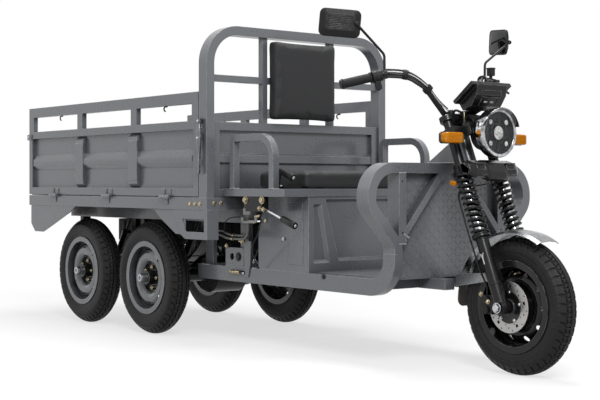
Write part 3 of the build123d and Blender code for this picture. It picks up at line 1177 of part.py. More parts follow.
# ---- output -------------------------------------------------------------------------------------------
def main():
    """Write one STEP file per piece."""
    os.makedirs("parts", exist_ok=True)
    left = side_gate()
    front = Pos(FRONT_AXLE_X, 0, FRONT_AXLE_Z)
    pieces = {
        "low_frame": low_frame(),
        "upper_frame": upper_frame(),
        "frame_risers": frame_risers(),
        "guard_frame": guard_frame(),
        "head_tube": head_tube(),
        "apron_plate": apron_plate(),
        "footwell_floor": footwell_floor(),
        "seat_box": seat_box(),
        "battery_block": battery_block(),
        "seat_frame": seat_frame(),
        "seat_cushion": seat_cushion(),
        "backrest": backrest(),
        "bed_frame": bed_frame(),
        "bed_floor": bed_floor(),
        "headboard": headboard(),
        "roll_hoop": hoop(),
        "bed_skirts": bed_skirts(),
        "rear_axles": rear_axle(REAR_AXLES[0]) + rear_axle(REAR_AXLES[1]),
        "rear_suspension": rear_suspension(),
        "hand_levers": hand_levers(),
        "brake_hoses": brake_hoses(),
        "tail_lamps": tail_lamps(),
        "gate_left": left,
        "gate_right": mirror(left, about=Plane.XZ),
        "tailgate": tailgate(),
        "fork": fork(),
        "fork_springs": fork_springs(),
        "front_fender": front_fender(),
        "mud_flap": mud_flap(),
        "brake_caliper": brake_caliper(),
        "headlight": headlight(),
        "signal_lamps": signal_lamps(),
        "fork_cowl": fork_cowl(),
        "handlebar": handlebar(),
        "hand_grips": hand_grips(),
        "mirrors": mirrors(),
        "display": display(),
        "brake_line": brake_line(),
        "front_tyre": front * tyre(FRONT_TYRE_R, FRONT_TYRE_WIDTH),
        "front_rim": front * front_rim(),
        "brake_disc": front * brake_disc(),
    }
    rear_tyre = tyre(REAR_TYRE_R, REAR_TYRE_WIDTH)
    left_rim = rear_rim()
    right_rim = mirror(left_rim, about=Plane.XZ)
    for number, x in enumerate(REAR_AXLES, 1):
        for side, y, wheel in (("left", REAR_WHEEL_Y, left_rim), ("right", -REAR_WHEEL_Y, right_rim)):
            place = Pos(x, y, REAR_TYRE_R)
            pieces[f"rear_tyre_{side}_{number}"] = place * rear_tyre
            pieces[f"rear_rim_{side}_{number}"] = place * wheel
    for name, shape in pieces.items():
        export_step(shape, f"parts/{name}.step")


main()
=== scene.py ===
"""Dresses the cargo trike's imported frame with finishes, tyres, pads, springs, lamps and fittings."""

import logging
import math
from dataclasses import dataclass, field
from enum import Enum

import bmesh
import bpy
import numpy as np
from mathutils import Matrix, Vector
from mathutils.geometry import delaunay_2d_cdt


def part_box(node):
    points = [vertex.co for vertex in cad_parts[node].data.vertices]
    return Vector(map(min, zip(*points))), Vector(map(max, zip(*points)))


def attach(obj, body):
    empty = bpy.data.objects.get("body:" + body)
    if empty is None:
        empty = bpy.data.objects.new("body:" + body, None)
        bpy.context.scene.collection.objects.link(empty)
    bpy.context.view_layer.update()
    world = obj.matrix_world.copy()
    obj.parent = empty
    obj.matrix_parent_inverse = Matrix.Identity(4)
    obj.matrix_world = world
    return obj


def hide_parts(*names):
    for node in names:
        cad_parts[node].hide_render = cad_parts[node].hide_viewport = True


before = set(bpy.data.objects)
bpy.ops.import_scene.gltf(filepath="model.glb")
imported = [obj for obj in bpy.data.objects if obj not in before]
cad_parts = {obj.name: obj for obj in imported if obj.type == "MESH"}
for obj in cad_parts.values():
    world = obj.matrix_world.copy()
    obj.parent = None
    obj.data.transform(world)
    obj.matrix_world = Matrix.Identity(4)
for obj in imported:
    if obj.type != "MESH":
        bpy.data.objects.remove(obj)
log = logging.getLogger("trike")

# Metres throughout: x forwards, y to the left, z up.
BED_FRONT = 0.074                               # x of the bed's front face
RAKE = math.radians(22.0)                       # the fork's lean from the vertical
STEER_FOOT = np.array([BED_FRONT + 1.272, 0.0, 0.2395])
STEER_TURN = np.array([[math.cos(RAKE), 0.0, -math.sin(RAKE)],
                       [0.0, 1.0, 0.0],
                       [math.sin(RAKE), 0.0, math.cos(RAKE)]])
FRONT_AXLE = np.array([BED_FRONT + 1.308, 0.0, 0.254])
REAR_AXLES = (BED_FRONT - 0.633, BED_FRONT - 1.257)
REAR_WHEEL_Y = 0.385
REAR_TYRE_R = 0.265
FRONT_TYRE_R = 0.254
LEG = (0.0388, 0.095, 0.0)                      # the left fork leg's axis, in the steering frame
HINGE_Y, HINGE_Z, TAIL_HINGE_X = 0.5235, 0.6480, -1.6265
SIDE_HINGES = [(BED_FRONT + x, HINGE_Y, HINGE_Z) for x in (-1.389, -0.842, -0.317)]
TAIL_HINGES = [(TAIL_HINGE_X, y, HINGE_Z) for y in (-0.330, 0.0, 0.330)]
STRAPS = (BED_FRONT - 1.135, BED_FRONT - 0.615)
BRACKET_Y = -0.438                              # outer face of the levers' bracket
BRAKE_LEVER_FOOT = (BED_FRONT + 0.420, -0.424, 0.563)     # where each lever's grip begins
GEAR_LEVER_FOOT = (BED_FRONT + 0.352, -0.382, 0.760)
TREAD_SHARE = 0.84                              # of a tyre's half width that its tread covers
TURN = 2.0 * math.pi
QUARTER = math.pi / 2
SIDES = (("left", 1), ("right", -1))            # name and sign of y
Corner = tuple[float, float, float]
Profile = list[tuple[float, float]]


# ---- surfaces ---------------------------------------------------------------------------------
@dataclass
class Shell:
    """Points, four-sided faces and end caps of one or more closed surfaces.

    Args:
        points: corner positions, one row each, in metres.
        quads: rows of four point numbers.
        caps: flat end faces as lists of point numbers.
    """

    points: np.ndarray
    quads: np.ndarray
    caps: list[list[int]] = field(default_factory=list)

    def __add__(self, other: "Shell") -> "Shell":
        """Both surfaces in one mesh, the second numbered after the first."""
        step = len(self.points)
        return Shell(np.vstack([self.points, other.points]), np.vstack([self.quads, other.quads + step]),
                     self.caps + [[number + step for number in cap] for cap in other.caps])

    def moved(self, offset: Corner | np.ndarray) -> "Shell":
        """The surface shifted by an offset."""
        return Shell(self.points + np.asarray(offset), self.quads, self.caps)

    def turned(self, axis: str, angle: float) -> "Shell":
        """The surface turned about a main axis by an angle in radians."""
        return Shell(self.points @ turn_matrix(axis, angle).T, self.quads, self.caps)

    def steered(self) -> "Shell":
        """The surface carried from the steering frame to the vehicle's frame."""
        return Shell(self.points @ STEER_TURN.T + STEER_FOOT, self.quads, self.caps)

    def flipped(self) -> "Shell":
        """The mirror image across the centreline, its faces turned back outwards."""
        return Shell(self.points * np.array([1.0, -1.0, 1.0]), self.quads[:, ::-1],
                     [cap[::-1] for cap in self.caps])

    def both(self) -> "Shell":
        """The surface and its mirror image across the centreline."""
        return self + self.flipped()

    def sided(self, sign: int) -> "Shell":
        """The surface itself for 1, or its mirror image across the centreline for -1."""
        return self if sign > 0 else self.flipped()


def turn_matrix(axis: str, angle: float) -> np.ndarray:
    """Rotation by an angle about x, y or z.

    Args:
        axis: "x", "y" or "z".
        angle: radians, by the right-hand rule.

    Returns:
        Three by three matrix.
    """
    c, s = math.cos(angle), math.sin(angle)
    rows = {"x": [[1, 0, 0], [0, c, -s], [0, s, c]],
            "y": [[c, 0, s], [0, 1, 0], [-s, 0, c]],
            "z": [[c, -s, 0], [s, c, 0], [0, 0, 1]]}
    return np.array(rows[axis], float)


def join(parts: list[Shell]) -> Shell:
    """All surfaces of a list in one mesh.

    Args:
        parts: the surfaces.

    Returns:
        One surface.
    """
    total = parts[0]
    for part in parts[1:]:
        total = total + part
    return total


def grid(points: np.ndarray, close_rows: bool, close_columns: bool, capped: bool = False) -> Shell:
    """Surface through a grid of points: face (i, j) joins rows i, i+1 and columns j, j+1.

    Args:
        points: array of rows by columns by three.
        close_rows: whether the last row joins the first.
        close_columns: whether the last column joins the first.
        capped: whether flat faces close the first and last rows.

    Returns:
        The surface.
    """
    rows, columns = points.shape[:2]
    i = np.arange(rows if close_rows else rows - 1)[:, None]
    j = np.arange(columns if close_columns else columns - 1)[None, :]
    i2, j2 = (i + 1) % rows, (j + 1) % columns
    quads = np.stack([i * columns + j, i * columns + j2, i2 * columns + j2, i2 * columns + j], -1)
    caps = []
    if capped:
        last = (rows - 1) * columns
        caps = [list(range(columns))[::-1], [last + number for number in range(columns)]]
    return Shell(points.reshape(-1, 3), quads.reshape(-1, 4), caps)


def lathe(profile: Profile, steps: int = 48, axis: str = "y", closed: bool = False) -> Shell:
    """Surface of revolution: radius r and place a along the axis give (r cos t, a, r sin t).

    Args:
        profile: (radius, along) corners; ends on the axis close by themselves.
        steps: divisions of the full turn.
        axis: "x", "y" or "z", the axis of revolution.
        closed: whether the profile's last corner joins its first.

    Returns:
        The surface.
    """
    r, a = np.asarray(profile, float).T
    t = np.arange(steps) * TURN / steps
    x, z = r[None, :] * np.cos(t)[:, None], r[None, :] * np.sin(t)[:, None]
    along = np.broadcast_to(a[None, :], x.shape)
    order = {"y": (x, along, z), "x": (along, x, z), "z": (x, z, along)}[axis]
    return grid(np.stack(order, -1), True, closed)


def level(outline: Profile | np.ndarray, along: float, axis: str = "y", size: float | np.ndarray = 1.0,
          at: tuple[float, float] = (0.0, 0.0)) -> np.ndarray:
    """Corners of a flat outline standing at one place along an axis.

    Args:
        outline: the corners in the other two coordinates, in their order.
        along: the place along the axis.
        axis: "x", "y" or "z".
        size: factor on the outline, one for both coordinates or one for each.
        at: shift of the outline in its own plane.

    Returns:
        Rows of positions.
    """
    a, b = (np.asarray(outline, float) * size + np.array(at)).T
    flat = np.full_like(a, along)
    return np.stack({"y": (a, flat, b), "x": (flat, a, b), "z": (a, b, flat)}[axis], -1)


def prism(corners: Profile, low: float, high: float, axis: str = "y") -> Shell:
    """Flat polygon carried straight along an axis from one height to another, with a flat cap at each end."""
    return loft([level(corners, low, axis), level(corners, high, axis)])


def rect(a0: float, a1: float, b0: float, b1: float) -> Profile:
    """Corners of a rectangle between two bounds in each coordinate."""
    return [(a0, b0), (a1, b0), (a1, b1), (a0, b1)]


def box(low: Corner, high: Corner) -> Shell:
    """Square block between two corners."""
    return prism(rect(low[0], high[0], low[2], high[2]), low[1], high[1])


def sweep(path: np.ndarray, section: np.ndarray, closed: bool = False, up: tuple = (0.0, 0.0, 1.0)) -> Shell:
    """Closed section carried along a path, each station square to the path's direction.

    Args:
        path: rows of positions.
        section: rows of (side, up) offsets, or one such array for each station.
        closed: whether the path is a loop.
        up: direction kept as near upright as the path lets it.

    Returns:
        The surface, with flat caps where the path is open.
    """
    path = np.asarray(path, float)
    along = np.roll(path, -1, 0) - np.roll(path, 1, 0) if closed else np.gradient(path, axis=0)
    along /= np.linalg.norm(along, axis=1)[:, None]
    side = np.cross(along, np.asarray(up, float))
    side /= np.linalg.norm(side, axis=1)[:, None]
    rise = np.cross(side, along)
    section = np.asarray(section, float)
    if section.ndim == 2:
        section = np.broadcast_to(section, (len(path),) + section.shape)
    points = (path[:, None, :] + section[:, :, :1] * side[:, None, :] + section[:, :, 1:] * rise[:, None, :])
    return grid(points, closed, True, not closed)


def inside(points: np.ndarray, loop: np.ndarray) -> np.ndarray:
    """Whether each flat point lies in a closed loop, by counting the edges to its right.

    Args:
        points: rows of two coordinates.
        loop: the loop's corners.

    Returns:
        One truth value for each point.
    """
    x, y = points[:, :1], points[:, 1:]
    a, b = loop, np.roll(loop, -1, 0)
    rise = np.where(b[:, 1] == a[:, 1], 1.0, b[:, 1] - a[:, 1])
    reach = a[:, 0] + (b[:, 0] - a[:, 0]) * (y - a[:, 1]) / rise
    return (((a[:, 1] > y) != (b[:, 1] > y)) & (x < reach)).sum(1) % 2 == 1


def pierced(outline: np.ndarray, holes: list[np.ndarray], low: float, high: float) -> Shell:
    """Flat plate with true holes: one triangulation between the loops at two heights, joined by walls.

    Args:
        outline: outer corners.
        holes: corners of each hole.
        low: height of the lower face.
        high: height of the upper face.

    Returns:
        Closed surface across z.
    """
    loops = [np.asarray(outline, float)] + [np.asarray(hole, float) for hole in holes]
    flat = np.vstack(loops)
    runs, first = [], 0
    for loop in loops:
        number = np.arange(len(loop))
        runs.append(np.stack([first + number, first + (number + 1) % len(loop)], -1))
        first += len(loop)
    edges = np.vstack(runs)
    made = delaunay_2d_cdt([Vector(point) for point in flat], edges.tolist(), [], 0, 1e-9)
    tri = np.array(made[2])
    middle = flat[tri].mean(1)
    keep = inside(middle, loops[0])
    for loop in loops[1:]:
        keep &= ~inside(middle, loop)
    tri, count = tri[keep], len(flat)
    points = np.vstack([np.column_stack([flat, np.full(count, low)]), np.column_stack([flat, np.full(count, high)])])
    walls = np.column_stack([edges, edges[:, ::-1] + count])
    return Shell(points, walls, (tri + count).tolist() + tri[:, ::-1].tolist())


def circle(x: float, y: float, radius: float, sides: int = 16) -> np.ndarray:
    """Corners of a circle about a point."""
    return ring(radius, sides) + np.array([x, y])


def loft(sections: list[np.ndarray]) -> Shell:
    """Surface through closed sections of equal count, with a flat cap at each end."""
    return grid(np.stack(sections), False, True, True)


def aimed(shell: Shell, start: tuple | np.ndarray, end: tuple | np.ndarray) -> Shell:
    """The surface with its z axis laid from one point towards another.

    Args:
        shell: the surface, standing on z = 0.
        start: where its foot goes.
        end: what its z axis points at.

    Returns:
        The surface in its place.
    """
    start, end = np.asarray(start, float), np.asarray(end, float)
    along = (end - start) / np.linalg.norm(end - start)
    side = np.cross(along, (0.0, 0.0, 1.0) if abs(along[2]) < 0.9 else (1.0, 0.0, 0.0))
    side /= np.linalg.norm(side)
    turn = np.column_stack([side, np.cross(along, side), along])
    return Shell(shell.points @ turn.T + start, shell.quads, shell.caps)


def ring(radius: float, sides: int = 12) -> np.ndarray:
    """Corners of a round section."""
    t = np.arange(sides) * TURN / sides
    return np.stack([radius * np.cos(t), radius * np.sin(t)], -1)


def rounded(width: float, height: float, radius: float, steps: int = 4) -> np.ndarray:
    """Corners of a rectangle with rounded corners, centred on its middle.

    Args:
        width: first size.
        height: second size.
        radius: of the corners.
        steps: divisions of each corner.

    Returns:
        Rows of two coordinates.
    """
    t = np.linspace(0, QUARTER, steps + 1)
    quarter = np.stack([np.cos(t), np.sin(t)], -1) * radius
    corners = []
    for number, (sx, sy) in enumerate(((1, 1), (-1, 1), (-1, -1), (1, -1))):
        turn = turn_matrix("z", number * QUARTER)[:2, :2]
        corners.append(quarter @ turn.T + np.array([sx * (width / 2 - radius), sy * (height / 2 - radius)]))
    return np.vstack(corners)


def resample(path: np.ndarray, step: float) -> np.ndarray:
    """Closed path cut into even lengths by linear interpolation along its length.

    Args:
        path: the loop's corners.
        step: length of each cut.

    Returns:
        Rows of positions.
    """
    loop = np.vstack([path, path[:1]])
    run = np.concatenate([[0.0], np.cumsum(np.linalg.norm(np.diff(loop, axis=0), axis=1))])
    at = np.linspace(0, run[-1], max(8, int(run[-1] / step)), endpoint=False)
    return np.stack([np.interp(at, run, loop[:, axis]) for axis in range(3)], -1)


def smooth_path(points: list[Corner] | np.ndarray, steps: int = 10) -> np.ndarray:
    """Catmull-Rom curve: each run is the cubic whose end slopes are half the neighbours' distance.

    Args:
        points: what the curve passes through.
        steps: divisions of each run.

    Returns:
        Rows of positions.
    """
    p = np.asarray(points, float)
    p = np.vstack([2 * p[0] - p[1], p, 2 * p[-1] - p[-2]])
    t = np.linspace(0, 1, steps, endpoint=False)[None, :, None]
    a, b, c, d = (p[k:len(p) - 3 + k][:, None, :] for k in range(4))
    curve = 0.5 * (2 * b + (c - a) * t + (2 * a - 5 * b + 4 * c - d) * t ** 2 + (3 * b - a - 3 * c + d) * t ** 3)
    return np.vstack([curve.reshape(-1, 3), p[-2]])


def wire(points: list[Corner] | np.ndarray, radius: float, steps: int = 10, sides: int = 8,
         up: Corner = (0.0, 0.0, 1.0)) -> Shell:
    """Round wire along the smooth curve through some points.

    Args:
        points: what the wire passes through.
        radius: of the wire.
        steps: divisions between two points.
        sides: of its section.
        up: direction kept as near upright as the path lets it.

    Returns:
        The wire, with flat ends.
    """
    return sweep(smooth_path(points, steps), ring(radius, sides), up=up)


def hoop(flat: np.ndarray, height: float, step: float, radius: float, sides: int) -> Shell:
    """Closed round bead along a flat outline at one height, cut into even lengths."""
    return sweep(resample(level(flat, height, "z"), step), ring(radius, sides), closed=True)


def rod(start: Corner, end: Corner, radius: float, sides: int = 16) -> Shell:
    """Round bar between two points, with flat ends.

    Args:
        start: middle of one end.
        end: middle of the other.
        radius: of the bar.
        sides: of its section.

    Returns:
        The bar.
    """
    along = np.asarray(end, float) - np.asarray(start, float)
    up = (0.0, 0.0, 1.0) if abs(along[2]) < 0.9 * np.linalg.norm(along) else (1.0, 0.0, 0.0)
    return sweep(np.array([start, end], float), ring(radius, sides), up=up)


def bolt(radius: float, height: float, sides: int = 6) -> Shell:
    """Hexagon head with a chamfer, standing on z = 0.

    Args:
        radius: of its corners.
        height: of the head.
        sides: how many flats it has.

    Returns:
        The head.
    """
    r = np.array([radius, radius, radius * 0.84, 0.0])
    z = np.array([0.0, height * 0.78, height, height])
    t = np.arange(sides) * TURN / sides
    points = np.stack([r * np.cos(t)[:, None], r * np.sin(t)[:, None], np.broadcast_to(z, (sides, 4))], -1)
    return grid(points, True, False)


FACING = {"+x": ("y", QUARTER), "+y": ("x", -QUARTER), "-y": ("x", QUARTER), "+z": ("z", 0.0)}


def bolts(places: list[Corner], facing: str, radius: float, height: float) -> Shell:
    """Hexagon heads with washers at several places, all facing one way.

    Args:
        places: where each head's foot sits.
        facing: "+x", "+y", "-y" or "+z".
        radius: of the head's corners.
        height: of the head over the washer.

    Returns:
        One surface.
    """
    head = bolt(radius, height).moved((0, 0, 0.0012))
    washer = lathe(rect(0, radius * 1.35, 0, 0.0014), 18, "z")
    one = (head + washer).turned(*FACING[facing])
    return join([one.moved(place) for place in places])


# ---- pieces -----------------------------------------------------------------------------------
def make_piece(name: str, shell: Shell, finish: "Finish", body: str, replaces: tuple[str, ...] = (),
               bevel: float = 0.0, crease: float = 34.0) -> bpy.types.Object:
    """Puts a surface into a mesh object that rides on a body.

    Args:
        name: the piece's name.
        shell: its closed surfaces.
        finish: its finish, which also names its slot.
        body: the body that it rides on.
        replaces: frame nodes that it stands for.
        bevel: width of a bevel on its sharp edges, in metres; none at 0.
        crease: edges that turn by more than this many degrees stay sharp.

    Returns:
        The object.
    """
    mesh = bpy.data.meshes.new(name)
    faces = shell.quads.tolist() + shell.caps
    mesh.from_pydata(shell.points.tolist(), [], faces)
    work = bmesh.new()
    work.from_mesh(mesh)
    bmesh.ops.remove_doubles(work, verts=work.verts, dist=2e-6)
    bmesh.ops.recalc_face_normals(work, faces=work.faces)
    work.to_mesh(mesh)
    work.free()
    mesh.polygons.foreach_set("use_smooth", np.ones(len(mesh.polygons), bool))
    mesh.set_sharp_from_angle(angle=math.radians(crease))
    piece = bpy.data.objects.new(name, mesh)
    bpy.context.scene.collection.objects.link(piece)
    mesh.materials.append(finish.material())
    if bevel:
        modifier = piece.modifiers.new("bevel", "BEVEL")
        modifier.width, modifier.segments, modifier.limit_method = bevel, 2, "ANGLE"
        modifier.angle_limit = math.radians(crease)
    settle(piece, body, replaces)
    return piece


def settle(piece: bpy.types.Object, body: str, replaces: tuple[str, ...] = ()) -> None:
    """Lets a piece ride on its body, hides the frame nodes it stands for, and logs it.

    Args:
        piece: the object.
        body: the body that it rides on.
        replaces: frame nodes that it stands for.
    """
    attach(piece, body)
    if replaces:
        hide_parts(*replaces)
    log.info("%s: %d faces on %s", piece.name, len(piece.data.polygons), body)


# ---- finishes ---------------------------------------------------------------------------------
class Relief(Enum):
    """Which small relief a finish carries."""

    ENAMEL = "enamel"
    MOULDED = "moulded"
    HIDE = "hide"
    RUBBER = "rubber"
    BRUSHED = "brushed"
    POLISHED = "polished"


class Nodes:
    """A node tree with short calls for making and linking nodes."""

    def __init__(self, tree: bpy.types.NodeTree) -> None:
        """Starts on an emptied tree."""
        self.tree = tree
        tree.nodes.clear()

    def add(self, kind: str, values: dict | None = None, **settings: object) -> bpy.types.Node:
        """Makes one node.

        Args:
            kind: the node's type.
            values: what its inputs hold or are linked from, by name or number.
            settings: the node's own properties.

        Returns:
            The node.
        """
        node = self.tree.nodes.new(kind)
        for key, value in settings.items():
            setattr(node, key, value)
        for key, value in (values or {}).items():
            socket = node.inputs[key]
            if isinstance(value, bpy.types.NodeSocket):
                self.tree.links.new(value, socket)
            else:
                socket.default_value = value
        return node

    def place(self) -> bpy.types.NodeSocket:
        """Position in the object's own coordinates."""
        return self.add("ShaderNodeTexCoord").outputs["Object"]

    def math(self, operation: str, *values: object) -> bpy.types.NodeSocket:
        """Output of a math node on up to three values."""
        return self.add("ShaderNodeMath", dict(enumerate(values)), operation=operation).outputs[0]

    def vector(self, operation: str, values: dict, output: int | str = 0) -> bpy.types.NodeSocket:
        """Output of a vector math node."""
        return self.add("ShaderNodeVectorMath", values, operation=operation).outputs[output]

    def ramp(self, value: bpy.types.NodeSocket, low: float, high: float, start: object = 0.0, end: object = 1.0,
             kind: str = "LINEAR") -> bpy.types.NodeSocket:
        """Value carried from low..high to start..end and held inside it."""
        return self.add("ShaderNodeMapRange", {0: value, 1: low, 2: high, 3: start, 4: end},
                        interpolation_type=kind).outputs[0]

    def group(self, name: str, **values: object) -> bpy.types.bpy_prop_collection:
        """Outputs of a shared group node; an input's name has _ for each space."""
        named = {key.replace("_", " "): value for key, value in values.items()}
        return self.add("ShaderNodeGroup", named, node_tree=shared_group(name)).outputs

    def seen(self) -> bpy.types.NodeSocket:
        """1 for rays from the camera, from gloss and through glass, and 0 for all others."""
        path = self.add("ShaderNodeLightPath").outputs
        return self.math("MAXIMUM", self.math("MAXIMUM", path["Is Camera Ray"], path["Is Glossy Ray"]),
                         path["Is Transmission Ray"])

    def noise(self, at: bpy.types.NodeSocket, scale: float | bpy.types.NodeSocket, detail: float = 3.0,
              roughness: float = 0.55) -> bpy.types.NodeSocket:
        """Value of a noise texture."""
        return self.add("ShaderNodeTexNoise", {"Vector": at, "Scale": scale, "Detail": detail,
                                               "Roughness": roughness}).outputs[0]

    def mix(self, share: object, first: object, second: object, blend: str = "MIX") -> bpy.types.NodeSocket:
        """Colour between two colours."""
        return self.add("ShaderNodeMix", {0: share, 6: first, 7: second}, data_type="RGBA",
                        blend_type=blend).outputs[2]


def make_group(name: str, inputs: dict[str, float | tuple], outputs: str
               ) -> tuple[bpy.types.NodeTree, Nodes, bpy.types.bpy_prop_collection]:
    """Starts a shader node group.

    Args:
        name: the group's name.
        inputs: each input's value by name, a colour where it is a tuple.
        outputs: names of the outputs, with commas between them.

    Returns:
        The group, its nodes, and the outputs of its input node.
    """
    kinds = {"Colour": "NodeSocketColor", "Normal": "NodeSocketVector"}
    group = bpy.data.node_groups.new(name, "ShaderNodeTree")
    for label, value in inputs.items():
        kind = "NodeSocketColor" if isinstance(value, tuple) else "NodeSocketFloat"
        group.interface.new_socket(label, in_out="INPUT", socket_type=kind).default_value = value
    for label in outputs.split(","):
        group.interface.new_socket(label, in_out="OUTPUT", socket_type=kinds.get(label, "NodeSocketFloat"))
    nodes = Nodes(group)
    return group, nodes, nodes.add("NodeGroupInput").outputs


def build_tone() -> bpy.types.NodeTree:
    """Group that varies a colour and a gloss: slow clouds plus fine flecks of noise.

    Returns:
        The group.
    """
    group, n, start = make_group(
        "tone_variation", {"Colour": (0.5, 0.5, 0.5, 1), "Shade": (0.4, 0.4, 0.4, 1), "Clouds": 3.0, "Flecks": 140.0,
                           "Gloss low": 0.3, "Gloss high": 0.5}, "Colour,Roughness")
    place = n.place()
    clouds, flecks = n.noise(place, start["Clouds"], 4), n.noise(place, start["Flecks"], 2)
    both = n.math("ADD", n.math("MULTIPLY", clouds, 0.7), n.math("MULTIPLY", flecks, 0.3))
    n.add("NodeGroupOutput", {"Colour": n.mix(n.ramp(both, 0.36, 0.64), start["Colour"], start["Shade"]),
                              "Roughness": n.ramp(both, 0.35, 0.65, start["Gloss low"], start["Gloss high"])})
    return group


def build_wear_and_highlight() -> bpy.types.NodeTree:
    """Group for edges: wear and a painted highlight where the rounded and the true normal part, broken up by noise.

    Returns:
        The group.
    """
    group, n, start = make_group("edge_wear_and_highlight", {"Radius": 0.003, "Amount": 0.5}, "Mask,Normal")
    bevel = n.add("ShaderNodeBevel", {"Radius": start["Radius"]}, samples=4).outputs[0]
    true = n.add("ShaderNodeNewGeometry").outputs["Normal"]
    edge = n.ramp(n.vector("DOT_PRODUCT", {0: bevel, 1: true}, "Value"), 0.998, 0.92)
    chips = n.ramp(n.noise(n.place(), 38.0, 4, 0.6), 0.36, 0.58)
    mask = n.math("MULTIPLY", n.math("MULTIPLY", edge, chips), start["Amount"])
    n.add("NodeGroupOutput", {"Mask": mask, "Normal": bevel})
    return group


def build_dust() -> bpy.types.NodeTree:
    """Group for dust: more on faces that look up and towards the ground, broken up by noise.

    Returns:
        The group.
    """
    group, n, start = make_group("dust", {"Amount": 0.2, "Height": 0.5}, "Mask")
    place = n.place()
    up = n.add("ShaderNodeSeparateXYZ", {0: n.add("ShaderNodeNewGeometry").outputs["Normal"]}).outputs[2]
    z = n.add("ShaderNodeSeparateXYZ", {0: place}).outputs[2]
    low, lie = n.ramp(z, 0.0, start["Height"], 1.0, 0.25), n.ramp(up, -0.2, 1.0, 0.25, 1.0)
    cloud = n.ramp(n.noise(place, 9.0, 5, 0.65), 0.4, 0.75)
    mask = n.math("MULTIPLY", n.math("MULTIPLY", low, lie), n.math("MULTIPLY", cloud, start["Amount"]))
    n.add("NodeGroupOutput", {"Mask": mask})
    return group


def build_painted_shade() -> bpy.types.NodeTree:
    """Group for painted shade in corners: what lies close by on most sides is darker, broken up a little by noise.

    Returns:
        The group.
    """
    group, n, start = make_group("painted_shade", {"Reach": 0.12, "Depth": 0.6}, "Mask")
    near = n.add("ShaderNodeAmbientOcclusion", {"Distance": start["Reach"]}, samples=12).outputs["AO"]
    cloud = n.ramp(n.noise(n.place(), 14.0, 4), 0.0, 1.0, 0.8, 1.2)
    shut = n.math("MULTIPLY", n.math("SUBTRACT", 1.0, near), cloud)
    n.add("NodeGroupOutput", {"Mask": n.math("MULTIPLY", n.ramp(shut, 0.08, 0.85), start["Depth"])})
    return group


def build_relief(kind: Relief) -> bpy.types.NodeTree:
    """Group that puts out a height for one kind of small relief.

    Args:
        kind: which relief.

    Returns:
        The group, with a Scale input and a Height output.
    """
    group, n, start = make_group(f"relief_{kind.value}", {"Scale": 100.0}, "Height")
    place, scale = n.place(), start["Scale"]
    if kind in (Relief.ENAMEL, Relief.POLISHED):
        height = n.noise(place, scale, 2, 0.4)
    elif kind is Relief.HIDE:
        warp = n.add("ShaderNodeTexNoise", {"Vector": place, "Scale": 60.0}).outputs[1]
        at = n.vector("ADD", {0: place, 1: n.vector("SCALE", {0: warp, "Scale": 0.006})})
        cells = n.add("ShaderNodeTexVoronoi", {"Vector": at, "Scale": scale}, feature="DISTANCE_TO_EDGE").outputs[0]
        pores = n.noise(place, n.math("MULTIPLY", scale, 3.0), 2)
        height = n.math("ADD", n.ramp(cells, 0.0, 0.16), n.math("MULTIPLY", pores, 0.35))
    elif kind is Relief.BRUSHED:
        lines = n.add("ShaderNodeMapping", {"Vector": place, "Scale": (1.0, 1.0, 14.0)}).outputs[0]
        height = n.noise(lines, scale, 3, 0.7)
    else:
        grains = n.noise(place, scale, 4, 0.65)
        finer = n.math("MULTIPLY", scale, 1.7)
        specks = n.add("ShaderNodeTexVoronoi", {"Vector": place, "Scale": finer}).outputs[0]
        height = n.math("ADD", grains, n.math("MULTIPLY", specks, 0.5))
    n.add("NodeGroupOutput", {"Height": height})
    return group


GROUPS: dict[str, bpy.types.NodeTree] = {}


def shared_group(name: str) -> bpy.types.NodeTree:
    """The node group of a name, built the first time it is asked for.

    Args:
        name: "tone", "wear", "dust", "grime" or the value of a Relief.

    Returns:
        The group.
    """
    if name not in GROUPS:
        makers = {"tone": build_tone, "wear_and_highlight": build_wear_and_highlight, "dust": build_dust, "painted_shade": build_painted_shade}
        GROUPS[name] = makers[name]() if name in makers else build_relief(Relief(name))
    return GROUPS[name]


class Look:
    """What a finish and a lens share: a material that is built once."""

    def material(self) -> bpy.types.Material:
        """The look's material, built the first time it is asked for.

        Returns:
            The material.
        """
        if self.name in bpy.data.materials:
            return bpy.data.materials[self.name]
        made = bpy.data.materials.new(self.name)
        made.use_nodes = True
        made.diffuse_color = (*self.colour, 1)
        n = Nodes(made.node_tree)
        n.add("ShaderNodeOutputMaterial", {"Surface": n.add("ShaderNodeBsdfPrincipled", self.surface(n)).outputs[0]})
        return made


